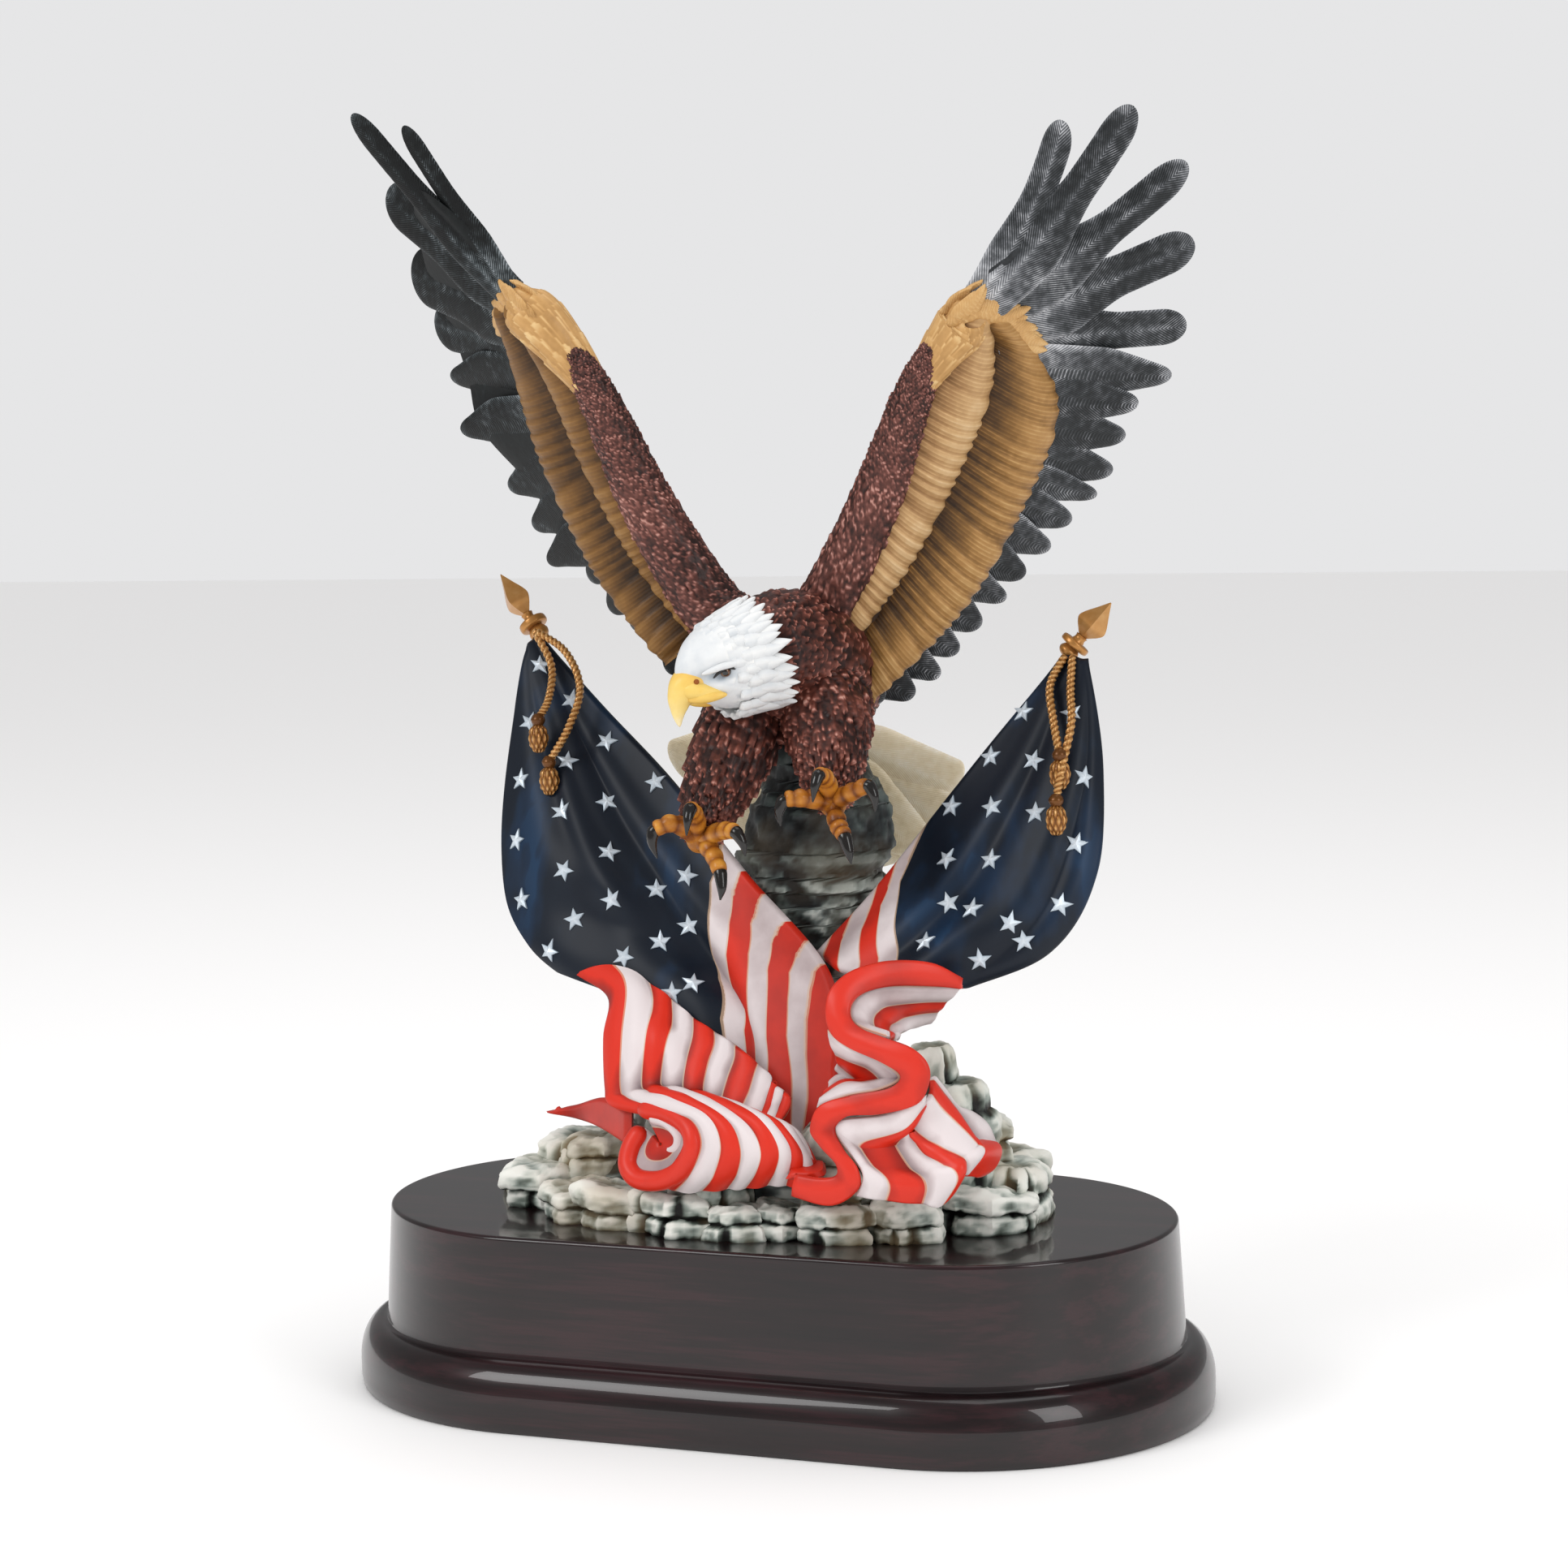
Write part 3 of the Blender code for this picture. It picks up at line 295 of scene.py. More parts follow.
FAN = [
    [(62.4, -53, 44.6), (50.5, -53, 38.9), (38.1, -54, 36.9), (37.5, -55, 33), (42.9, -56, 26.5),
     (45.5, -57, 22.3), (42.8, -56, 17)],
    [(61.2, -52, 42.7), (55.9, -52, 35.3), (44.7, -53, 31.4), (43.8, -53, 28.6), (47.5, -55, 24.6),
     (52.5, -56, 21), (51.2, -55, 16)],
    [(60.6, -51, 42), (55.8, -51, 34.9), (53.2, -50, 31.1), (52.9, -50, 29.3), (57.5, -52, 23.9),
     (62.2, -54, 20.9), (60.6, -53, 15.2)],
    [(60.7, -51, 42.4), (56.7, -51, 35.8), (57.9, -50, 31.7), (61.1, -51, 28), (66.8, -53, 25.7),
     (70.6, -54, 23.6), (65, -52, 15)],
    [(60.6, -50, 42.7), (57.1, -50, 36), (61.3, -50, 31.7), (65.8, -51, 29.8), (70.4, -51, 27.7),
     (71.5, -51, 26.4), (70.1, -50, 22.7)],
    [(61.1, -48, 43.6), (64, -47, 39.7), (67.2, -46, 36), (70.3, -46, 32.9), (73.2, -46, 29.8),
     (74.7, -46, 28.4), (69.9, -45, 22.5)],
    [(60.3, -44, 46.6), (62.7, -42, 42.4), (65, -40, 38.4), (66.4, -39, 35.9), (68, -39, 33.2),
     (70.4, -40, 29.6), (74.1, -41, 27.6)],
    [(58.6, -38, 46.3), (60.9, -34, 41.5), (63.5, -31, 36.2), (67.2, -29, 34.9), (71.1, -28, 31.9),
     (73.1, -28, 27.6), (74.4, -30, 24.7)]
]
RED_TIP = [
    [(70.5, -40, 29.8), (71.7, -33, 28.5), (73.1, -28, 27.1)],
    [(73.9, -44, 27.9), (74.7, -37, 26.8), (74.7, -29, 25.4)],
    [(71, -45, 24.1), (72.7, -39, 22.5), (74, -32, 22)],
    [(68.8, -46, 21.8), (70.9, -42, 20.9), (71.3, -36, 20.3)]
]
HEM = [
    [(21.4, -44, 30.6), (23.1, -45, 27.4), (26.4, -46, 23.6), (31.6, -47, 23.4)],
    [(21.1, -46, 28.8), (23.7, -48, 25.1), (27.2, -51, 22.4), (33.3, -54, 21.4)],
    [(19.8, -47, 26.3), (22.5, -50, 23.3), (23.6, -53, 22), (23.1, -55, 20.2)]
]


def spline(rows, shares):
    """Reads smooth curves through the points at an array of shares of their run."""
    rows = np.asarray(rows, float)
    last = len(rows) - 1
    run = np.clip(np.asarray(shares, float), 0, 1) * last
    i = np.minimum(run.astype(int), last - 1)
    f = (run - i).reshape(-1, *[1] * (rows.ndim - 1))
    padded = np.concatenate([[2 * rows[0] - rows[1]], rows, [2 * rows[-1] - rows[-2]]])
    before, a, b, after = padded[i], padded[i + 1], padded[i + 2], padded[i + 3]
    bend = (2 * before - 5 * a + 4 * b - after) * f * f + (3 * a - before - 3 * b + after) * f ** 3
    return 0.5 * (2 * a + (b - before) * f + bend)


def patch(curves, across, down):
    """Reads a surface through a row of curves."""
    length = max(len(c) for c in curves)
    even = [c if len(c) == length else spline(c, np.linspace(0, 1, length)) for c in curves]
    return spline(np.stack([spline(c, down) for c in even]), across)


def unit(v):
    """Gives directions their length of one."""
    v = np.asarray(v, float)
    return v / np.maximum(np.linalg.norm(v, axis=-1, keepdims=True), 1e-9)


def ease(x):
    """Runs softly from 0 to 1."""
    x = np.clip(x, 0, 1)
    return x * x * (3 - 2 * x)


def chance(*keys):
    """Gives a steady random share for whole-number keys."""
    total = sum(np.asarray(k, float) * w for k, w in zip(keys, (12.9898, 78.233, 37.719)))
    value = np.sin(total + 1.37) * 43758.5453
    return value - np.floor(value)


def normals(places):
    """Gives the direction a surface faces at each place."""
    return unit(np.cross(np.gradient(places, axis=0), np.gradient(places, axis=1)))


def grid(places, marks):
    """Shapes a grid primitive into a surface through rows of places and stores the paint marks on it."""
    rows, cols = places.shape[:2]
    bpy.ops.mesh.primitive_grid_add(x_subdivisions=cols - 1, y_subdivisions=rows - 1, size=1)
    made = bpy.context.object
    made.data.vertices.foreach_set("co", (places * UNIT + BASE).reshape(-1).astype(np.float32))
    for name in ("relief", "barb", "band"):
        layer = made.data.attributes.new(name, "FLOAT", "POINT")
        values = np.broadcast_to(np.asarray(marks.get(name, 0.0), np.float32), (rows, cols))
        layer.data.foreach_set("value", np.ascontiguousarray(values).reshape(-1))
    return made


def finish(surfaces, name, node, paint, angle=50, weld=0.000002):
    """Joins surfaces into one piece, closes their seams and hands the piece to the frame."""
    made = [grid(*laid) for laid in surfaces]
    bpy.ops.object.select_all(action="DESELECT")
    for part in made:
        part.select_set(True)
    bpy.context.view_layer.objects.active = made[0]
    if len(made) > 1:
        bpy.ops.object.join()
    piece = bpy.context.view_layer.objects.active
    piece.name = name
    bpy.ops.object.mode_set(mode="EDIT")
    bpy.ops.mesh.select_all(action="SELECT")
    bpy.ops.mesh.remove_doubles(threshold=weld)
    bpy.ops.mesh.dissolve_degenerate(threshold=weld)
    bpy.ops.mesh.normals_make_consistent(inside=False)
    bpy.ops.object.mode_set(mode="OBJECT")
    bpy.ops.object.transform_apply(location=True, rotation=True, scale=True)
    bpy.ops.object.shade_smooth_by_angle(angle=math.radians(angle))
    piece.data.materials.clear()
    piece.data.materials.append(paint)
    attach(piece, "root")
    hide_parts(node)
    bpy.ops.object.select_all(action="DESELECT")
    return piece


def cast(surfaces, name, paint, angle=50):
    """Finishes a piece of the painted casting."""
    return finish(surfaces, name, "eagle_casting", paint, angle)


def shingles(u, v, cols, rows, long=1.55, point=2.2, seed=0.0, ragged=0.35):
    """Gives the height and edge of overlapping feathers: u runs round and v runs down the limb."""
    run = v * rows
    height = np.zeros_like(run)
    edge = np.zeros_like(run)
    free = np.ones(run.shape, bool)
    for up in (1, 0):
        row = np.floor(run) - up
        x = u * cols + 0.5 * np.mod(row, 2)
        col = np.floor(x)
        key = np.mod(col, cols)
        reach = long + ragged * (chance(row, key, seed) - 0.5)
        side = x - col - 0.5 + 0.5 * ragged * (chance(key, row, seed + 3) - 0.5)
        t = np.clip((run - row) / reach, 0, 1)
        half = 0.58 * np.sqrt(np.clip(1 - t ** point, 0, 1))
        inside = free & (np.abs(side) < half) & (run - row < reach)
        rise = 0.15 + 0.85 * t - 1.1 * side ** 2 + 0.10 * np.exp(-(side / 0.07) ** 2)
        rise = rise * (1 - 0.6 * ragged + 1.2 * ragged * chance(row, key, seed + 7))
        rim = np.maximum(ease((np.abs(side) / np.maximum(half, 0.01) - 0.62) / 0.38), ease((t - 0.72) / 0.28))
        height = np.where(inside, rise, height)
        edge = np.where(inside,
                        rim * (0.35 + 0.65 * t) * (1 - ragged + 2 * ragged * chance(key, row, seed + 9)),
                        edge)
        free &= ~inside
    return height, edge


def limb(stations, around, down, flat=1.0, cols=0, rows=0, proud=1.0, closed=(True, True), long=1.55,
         point=2.2, seed=0.0, lift=None, ragged=0.35):
    """Makes a limb along stations of (x, y, z, radius), covered with overlapping feathers."""
    v = np.linspace(0, 1, down + 1)
    track = spline(stations, v)
    centre, radius = track[:, :3], track[:, 3].copy()
    if closed[0]:
        radius *= np.sqrt(np.clip(1 - np.clip(1 - v / CAP, 0, 1) ** 2, 0, 1))
    if closed[1]:
        radius *= np.sqrt(np.clip(1 - np.clip(1 - (1 - v) / CAP, 0, 1) ** 2, 0, 1))
    run = unit(np.gradient(centre, axis=0))
    level = np.zeros_like(run)
    level[0] = unit(np.cross(run[0], [0.0, 0.0, 1.0] if abs(run[0][2]) < 0.95 else [0.0, 1.0, 0.0]))
    for i in range(1, len(run)):
        level[i] = unit(level[i - 1] - run[i] * (level[i - 1] @ run[i]))
    rise = np.cross(level, run)
    a = np.linspace(0, 2 * np.pi, around + 1)
    ring = level[:, None] * (np.reshape(flat, (-1, 1)) * np.cos(a))[..., None]
    ring = ring + rise[:, None] * np.sin(a)[None, :, None]
    u = np.broadcast_to(a / (2 * np.pi), (down + 1, around + 1))
    vv = np.broadcast_to(v[:, None], u.shape)
    height, edge = np.zeros(u.shape), np.zeros(u.shape)
    if cols:
        height, edge = shingles(np.mod(u, 1), vv, cols, rows, long, point, seed, ragged)
    swell = height * proud * np.clip(radius / np.maximum(track[:, 3], 0.01), 0, 1)[:, None]
    if lift is not None:
        swell = swell + lift(u, vv)
    places = centre[:, None] + ring * (radius[:, None, None] + swell[..., None])
    places[:, -1] = places[:, 0]
    return places, {"relief": np.clip(0.15 + 0.35 * height + 0.6 * edge, 0, 1)}


def feather(root, tip, normal, width, thick=1.9, bow=0.0, sweep=0.0, down=72, around=20, tone=0.0, quill=0.5,
            camber=0.07, shape="vane", neck=0.6, seed=0, taper=0.0, blunt=0.82, silver=0.0, reach=0.5,
            rim_gain=0.34, waist=0.55):
    """Makes one feather with rounded edges, a raised quill and combed barbs, alike on both faces."""
    root, tip, normal = np.asarray(root, float), np.asarray(tip, float), np.asarray(normal, float)
    length = np.linalg.norm(tip - root)
    run = unit(tip - root)
    across = unit(np.cross(normal, run))
    up = np.cross(run, across)
    t = 1 - (1 - np.linspace(0, 1, down + 1)) ** 1.3
    a = np.linspace(0, 2 * np.pi, around + 1)
    s = np.cos(a)
    side = np.sign(np.sin(a))
    side[0] = side[-1] = 0
    side[around // 2] = 0
    if shape == "vane":
        end = np.sqrt(np.clip(1 - np.clip((t - blunt) / (1 - blunt), 0, 1) ** 2.2, 0, 1))
        half = width / 2 * (neck + (1 - neck) * ease(t / 0.4)) * (1 - taper * ease((t - waist) / 0.36)) * end
    else:
        end = np.clip(1 - np.clip((t - 0.25) / 0.75, 0, 1) ** 1.7, 0, 1)
        half = width / 2 * (0.75 + 0.25 * ease(t / 0.3)) * end
    ends = np.sqrt(np.clip(1 - t ** 14, 0, 1)) * np.sqrt(np.clip(t / 0.015, 0, 1))
    deep = thick / 2 * (1.15 - 0.4 * t) * ends
    x = half[:, None] * s[None, :]
    plate = np.sqrt(np.clip(1 - np.abs(s) ** 3.2, 0, 1))
    barb = (t * length)[:, None] - 1.7 * np.abs(x)
    fade = ends[:, None] * np.clip(half / (width / 2), 0, 1)[:, None]
    ridge = quill * np.exp(-(x / 0.6) ** 2) * (1 - 0.55 * t)[:, None] * fade
    comb = 0.05 * np.cos(barb * 2 * np.pi / 3.1) * ease((np.abs(x) - 0.7) / 0.8) * fade
    z = side[None, :] * (deep[:, None] * plate[None, :] + ridge + comb)
    z = z - camber * width * (s ** 2)[None, :] * fade
    line = root + run * (length * t)[:, None] + (up * bow + across * sweep) * (4 * t * (1 - t))[:, None]
    places = line[:, None] + across * x[..., None] + up * z[..., None]
    places[:, -1] = places[:, 0]
    rim = ease((np.abs(s) - 0.84) / 0.16)[None, :] * ease(t / 0.25)[:, None]
    end = ease((t - 0.90) / 0.10)[:, None]
    shaft = np.exp(-(x / 0.45) ** 2)
    jitter = 0.10 * (chance(seed, 5) - 0.5)
    relief = 0.32 + tone + jitter + rim_gain * np.maximum(rim, end)
    relief = relief + 0.15 * shaft * ease((0.97 - t) / 0.1)[:, None]
    relief = relief + silver * ease((reach - t) / (0.7 * reach))[:, None]
    return places, {"relief": np.clip(relief, 0, 1), "barb": barb + 37.0 * seed}


def cloth(places, thick, marks):
    """Gives a cloth two faces that meet in a rounded rim; returns both faces."""
    facing = normals(places)
    if facing[..., 1].mean() > 0:
        facing = -facing
    span_u = np.linalg.norm(np.diff(places, axis=0), axis=2)
    span_v = np.linalg.norm(np.diff(places, axis=1), axis=2)
    run_u = np.concatenate([np.zeros((1, places.shape[1])), np.cumsum(span_u, axis=0)])
    run_v = np.concatenate([np.zeros((places.shape[0], 1)), np.cumsum(span_v, axis=1)], axis=1)
    inset = np.minimum(np.minimum(run_u, run_u[-1:] - run_u), np.minimum(run_v, run_v[:, -1:] - run_v))
    half = thick / 2
    wall = half * np.sqrt(np.clip(1 - (1 - np.clip(inset / half, 0, 1)) ** 2, 0, 1))
    front = places + facing * wall[..., None]
    back = places - facing * wall[..., None]
    return [(front, marks), (back, marks)]


def blur(field, size):
    """Averages a field over its neighbours."""
    for axis in (0, 1):
        pad = [(0, 0)] * field.ndim
        pad[axis] = (size, size)
        wide = np.pad(field, pad, mode="edge")
        total = np.cumsum(wide, axis=axis)
        hi = np.take(total, range(2 * size, wide.shape[axis]), axis=axis)
        zero = np.zeros_like(np.take(total, [0], axis=axis))
        lo = np.concatenate([zero, np.take(total, range(0, wide.shape[axis] - 2 * size - 1), axis=axis)],
                            axis=axis)
        field = (hi - lo) / (2 * size + 1)
    return field


def crest(places, size, gain):
    """Marks where a surface stands proud of its neighbourhood: 0.5 is level, 1 a crest and 0 a crease."""
    facing = normals(places)
    if facing[..., 1].mean() > 0:
        facing = -facing
    return np.clip(0.5 + gain * ((places - blur(places, size)) * facing).sum(axis=2), 0, 1)


def bands(u, v, borders):
    """Numbers the stripe at each place of a cloth, running evenly from border to border."""
    rooms = []
    for line in borders:
        points = np.array(line)
        cross = np.interp(v, points[:, 1], points[:, 0], left=-0.2)
        rooms.append(cross - u)
    band = np.clip(1 + rooms[0] * 6, 0.2, 1)
    for k, here in enumerate(rooms):
        after = rooms[k + 1] if k + 1 < len(rooms) else here - 0.25
        share = np.clip(here / np.maximum(here - np.minimum(after, -1e-6), 1e-6), 0, 0.999)
        band = np.where(here > 0, k + 1 + share, band)
    return band


# Colours of the cloth, of its painted seams and of the sand on the rock
RED = "#cf2811"
WHITE_CLOTH = "#d6cccc"
NAVY = "#0e1e35"
# NAVY_STOPS paint the canton: mottled, and paler blue on the crests of its folds as painted highlight
NAVY_STOPS = [(0.18, "#07111f"), (0.45, "#0a1624"), (0.76, "#0e253d"), (0.98, "#183e60")]
# SHADE is painted shade: multiplied over the cloth, it darkens the creases where the relief mark is low
SHADE = [(0.05, "#7d6c70"), (0.40, "#d2caca"), (0.60, "#ffffff"), (1.0, "#ffffff")]
SEAM = "#c9a88a"
SEAM_SHARE = 0.045
SAND = "#a8906a"

# Distance between two combed barbs of a feather, in units
BARB_PITCH = 1.15


def ink(code):
    """Turns a screen colour into the light values a shader takes."""
    values = [int(code[i:i + 2], 16) / 255 for i in (1, 3, 5)]
    return [c / 12.92 if c <= 0.04045 else ((c + 0.055) / 1.055) ** 2.4 for c in values] + [1.0]


def maths(tree, operation, *values, clamp=False):
    """Adds one sum to a paint."""
    node = tree.nodes.new("ShaderNodeMath")
    node.operation = operation
    node.use_clamp = clamp
    for socket, value in zip(node.inputs, values):
        if isinstance(value, (int, float)):
            socket.default_value = value
        else:
            tree.links.new(value, socket)
    return node.outputs[0]


def mark(tree, name):
    """Reads one of the marks stored on the surface."""
    node = tree.nodes.new("ShaderNodeAttribute")
    node.attribute_name = name
    return node.outputs["Fac"]


def mottle(tree, scale, detail=4, stretch=None):
    """Reads a noise laid in the object's own space."""
    place = tree.nodes.new("ShaderNodeTexCoord")
    cloud = tree.nodes.new("ShaderNodeTexNoise")
    cloud.inputs["Scale"].default_value = scale
    cloud.inputs["Detail"].default_value = detail
    source = place.outputs["Object"]
    if stretch:
        pull = tree.nodes.new("ShaderNodeMapping")
        pull.inputs["Scale"].default_value = stretch
        tree.links.new(source, pull.inputs["Vector"])
        source = pull.outputs["Vector"]
    tree.links.new(source, cloud.inputs["Vector"])
    return cloud.outputs["Fac"]


def ramp(tree, value, stops, hard=False):
    """Turns a value into a colour."""
    node = tree.nodes.new("ShaderNodeValToRGB")
    node.color_ramp.interpolation = "CONSTANT" if hard else "LINEAR"
    marks = node.color_ramp.elements
    while len(marks) < len(stops):
        marks.new(0.5)
    for element, (place, colour) in zip(marks, stops):
        element.position = place
        element.color = ink(colour)
    tree.links.new(value, node.inputs["Fac"])
    return node.outputs["Color"]


def blend(tree, kind, share, first, second):
    """Lays one colour over another."""
    node = tree.nodes.new("ShaderNodeMix")
    node.data_type = "RGBA"
    node.blend_type = kind
    sockets = [node.inputs[0], node.inputs[6], node.inputs[7]]
    for socket, value in zip(sockets, (share, first, second)):
        if isinstance(value, (int, float)):
            socket.default_value = value
        elif isinstance(value, str):
            socket.default_value = ink(value)
        else:
            tree.links.new(value, socket)
    return node.outputs[2]


def surface(name, rough, coat=0.0, metal=0.0, coat_rough=0.1):
    """Starts a paint and gives its shader."""
    made = bpy.data.materials.new(name)
    made.use_nodes = True
    shader = made.node_tree.nodes["Principled BSDF"]
    shader.inputs["Roughness"].default_value = rough
    shader.inputs["Specular IOR Level"].default_value = 0.28
    shader.inputs["Coat Weight"].default_value = coat
    shader.inputs["Coat Roughness"].default_value = coat_rough
    shader.inputs["Metallic"].default_value = metal
    return made, made.node_tree, shader


def emboss(tree, shader, value, strength, depth=0.0002):
    """Gives the surface a fine relief."""
    node = tree.nodes.new("ShaderNodeBump")
    node.inputs["Strength"].default_value = strength
    node.inputs["Distance"].default_value = depth
    tree.links.new(value, node.inputs["Height"])
    tree.links.new(node.outputs["Normal"], shader.inputs["Normal"])


def swing(tree, value, depth):
    """Turns a noise into a value that swings round zero."""
    return maths(tree, "MULTIPLY", maths(tree, "SUBTRACT", value, 0.5), depth)


def held(tree, value):
    """Keeps a value between 0 and 1."""
    return maths(tree, "ADD", value, 0.0, clamp=True)


def brushed(name, stops, rough=0.5, coat=0.0, metal=0.0, grain=0.16, scale=450, barbs=0.0):
    """Makes a paint brushed dry over the relief: dark in the hollows and pale on the edges, and painted shade
    or highlight where a piece's relief mark holds them.
    """
    made, tree, shader = surface(name, rough, coat, metal)
    cloud = mottle(tree, scale)
    soft = mottle(tree, 60, 2)
    value = maths(tree, "ADD", mark(tree, "relief"), swing(tree, cloud, 2 * grain))
    value = maths(tree, "ADD", value, swing(tree, soft, 0.35 * grain / 0.16))
    if barbs:
        wave = maths(tree, "SINE", maths(tree, "MULTIPLY", mark(tree, "barb"), 2 * math.pi / BARB_PITCH))
        share = maths(tree, "MULTIPLY", ramp_share(tree, mottle(tree, 110, 3)), 0.5)
        patchy = maths(tree, "MULTIPLY", maths(tree, "ADD", share, 0.5), barbs)
        streak = maths(tree, "MULTIPLY", maths(tree, "MAXIMUM", wave, 0.0), cloud)
        value = maths(tree, "ADD", value, maths(tree, "MULTIPLY", streak, patchy))
        emboss(tree, shader, maths(tree, "ADD", maths(tree, "MULTIPLY", wave, 0.35), cloud), 0.45)
    else:
        emboss(tree, shader, cloud, 0.35)
    tree.links.new(ramp(tree, held(tree, value), stops), shader.inputs["Base Color"])
    return made


def ramp_share(tree, value):
    """Sharpens a noise into patches."""
    return maths(tree, "MULTIPLY", maths(tree, "SUBTRACT", value, 0.45), 5.0, clamp=True)


def striped(name, colours, coat=0.06):
    """Makes a glossy painted cloth whose stripes follow the band mark, with painted shade in its creases."""
    made, tree, shader = surface(name, 0.5, coat, 0.0, 0.3)
    band = mark(tree, "band")
    count = len(colours)
    stops = [(k / count, colour) for k, colour in enumerate(colours)]
    colour = ramp(tree, maths(tree, "DIVIDE", band, float(count)), stops, hard=True)
    # Painted shade: the relief mark darkens the creases of the folds through the SHADE ramp
    fold = maths(tree, "ADD", mark(tree, "relief"), swing(tree, mottle(tree, 120), 0.3))
    colour = blend(tree, "MULTIPLY", 1.0, colour, ramp(tree, held(tree, fold), SHADE))
    canton = maths(tree, "LESS_THAN", band, 1.0)
    if colours[0] == NAVY:
        # Painted highlight: the canton turns paler blue where the relief mark is high, on the crests of its
        # folds, mixed with random mottling
        cloud = ramp_share(tree, mottle(tree, 60, 3, (1.0, 1.0, 0.4)))
        patches = maths(tree, "MULTIPLY", maths(tree, "ADD", cloud, mark(tree, "relief")), 0.5, clamp=True)
        colour = blend(tree, "MIX", canton, colour, ramp(tree, patches, NAVY_STOPS))
    seam = maths(tree, "LESS_THAN", maths(tree, "PINGPONG", band, 0.5), SEAM_SHARE)
    colour = blend(tree, "MIX", maths(tree, "MULTIPLY", seam, 0.55), colour, SEAM)
    tree.links.new(colour, shader.inputs["Base Color"])
    emboss(tree, shader, mottle(tree, 260, 3), 0.12)
    return made


def lacquer(name):
    """Makes the plinth's dark polished rosewood."""
    made, tree, shader = surface(name, 0.3, 0.6, 0.0, 0.03)
    grain = mottle(tree, 34, 6, (0.5, 3.0, 7.0))
    fine = mottle(tree, 260, 3, (0.25, 2.0, 5.0))
    value = maths(tree, "ADD", maths(tree, "MULTIPLY", grain, 0.75), maths(tree, "MULTIPLY", fine, 0.25))
    stops = [(0.30, "#0c0506"), (0.50, "#190a0c"), (0.62, "#2a1216"), (0.80, "#140809")]
    tree.links.new(ramp(tree, value, stops), shader.inputs["Base Color"])
    return made


ROCK_STOPS = [
    (0.03, "#12110f"), (0.15, "#363c36"), (0.32, "#646d65"), (0.5, "#939c94"), (0.7, "#c8ccc3"),
    (0.92, "#e6e6de")
]
# The standing rock's paint is a darker, bluer copy of the rock's, with less sand: painted shade on the rock
# beneath the bird
SHADED_CORE_STOPS = [
    (0.03, "#0a0b0b"), (0.15, "#1f2526"), (0.32, "#38413f"), (0.5, "#59625f"), (0.7, "#8c948f"),
    (0.92, "#c3c8c1")
]


def stone(name, stops, warm):
    """Makes the rock's paint: dark crevices, grey-green faces and pale brushed edges."""
    made, tree, shader = surface(name, 0.55, 0.10, 0.0, 0.3)
    cloud = mottle(tree, 240, 6)
    soft = mottle(tree, 45, 3)
    value = maths(tree, "ADD", mark(tree, "relief"), swing(tree, cloud, 0.30))
    value = maths(tree, "ADD", value, swing(tree, soft, 0.30), clamp=True)
    colour = ramp(tree, value, stops)
    warmth = maths(tree, "MULTIPLY", ramp_share(tree, mottle(tree, 38, 2)), warm)
    tree.links.new(blend(tree, "MIX", warmth, colour, SAND), shader.inputs["Base Color"])
    emboss(tree, shader, cloud, 0.6, 0.0004)
    return made


# Paints of the feathers, the beak and feet, the gilt and silver parts, the cloths, the rock and the plinth
RIGHT_QUILLS = brushed("slate_feathers", [(0.0, "#08090b"), (0.30, "#181b1d"), (0.46, "#313437"),
                                          (0.64, "#6f7175"), (0.90, "#c8c9cc")], 0.5, 0.04, barbs=0.60)
# The left wing's flight feather paint is a darker copy of the right wing's: painted shade on the left wing
LEFT_SHADED_QUILLS = brushed("left_shaded_feathers", [(0.0, "#020303"), (0.36, "#06090a"), (0.50, "#101516"),
                                         (0.66, "#3d4447"), (0.90, "#8c9296")], 0.6, 0.0, barbs=0.60)
COVERTS = brushed("tan_feathers", [(0.0, "#382411"), (0.20, "#6c4a26"), (0.42, "#9a744a"), (0.64, "#bd9869"),
                                   (1.0, "#dcc096")], 0.55, 0.05, grain=0.09, barbs=0.30)
GOLDEN = brushed("golden_feathers", [(0.0, "#2a190a"), (0.20, "#4e3518"), (0.42, "#785529"),
                                     (0.64, "#a07743"), (1.0, "#c6a26c")], 0.55, 0.05, grain=0.09, barbs=0.35)
# Darker copies of the tan and golden paints: painted shade on the left wing's coverts
LEFT_SHADED_COVERTS = brushed("left_shaded_tan_feathers", [(0.0, "#2b190a"), (0.22, "#4d3213"), (0.42, "#6d4a20"),
                                             (0.62, "#845e2e"), (1.0, "#a88250")], 0.55, 0.05, grain=0.09,
                       barbs=0.18)
LEFT_SHADED_GOLDEN = brushed("left_shaded_golden_feathers", [(0.0, "#241508"), (0.22, "#422b11"), (0.42, "#62421b"),
                                               (0.62, "#7a5527"), (1.0, "#9c7540")], 0.55, 0.05, grain=0.09,
                      barbs=0.18)
CREAM = brushed("cream_feathers", [(0.0, "#5e4120"), (0.22, "#946c3a"), (0.45, "#be935b"), (0.70, "#d6b47e"),
                                   (1.0, "#e9d2a8")], 0.5, 0.08, grain=0.10, barbs=0.20)
ARM_BROWN = brushed("arm_feathers", [(0.0, "#0f0705"), (0.24, "#321a15"), (0.48, "#5a322a"),
                                     (0.74, "#845349"), (1.0, "#b58579")], 0.55, 0.08, grain=0.26, scale=620)
BODY_BROWN = brushed("body_feathers", [(0.0, "#0d0605"), (0.24, "#2b1410"), (0.48, "#562b21"),
                                       (0.74, "#8a5144"), (1.0, "#bb8a7c")], 0.55, 0.08, grain=0.26,
                     scale=560)
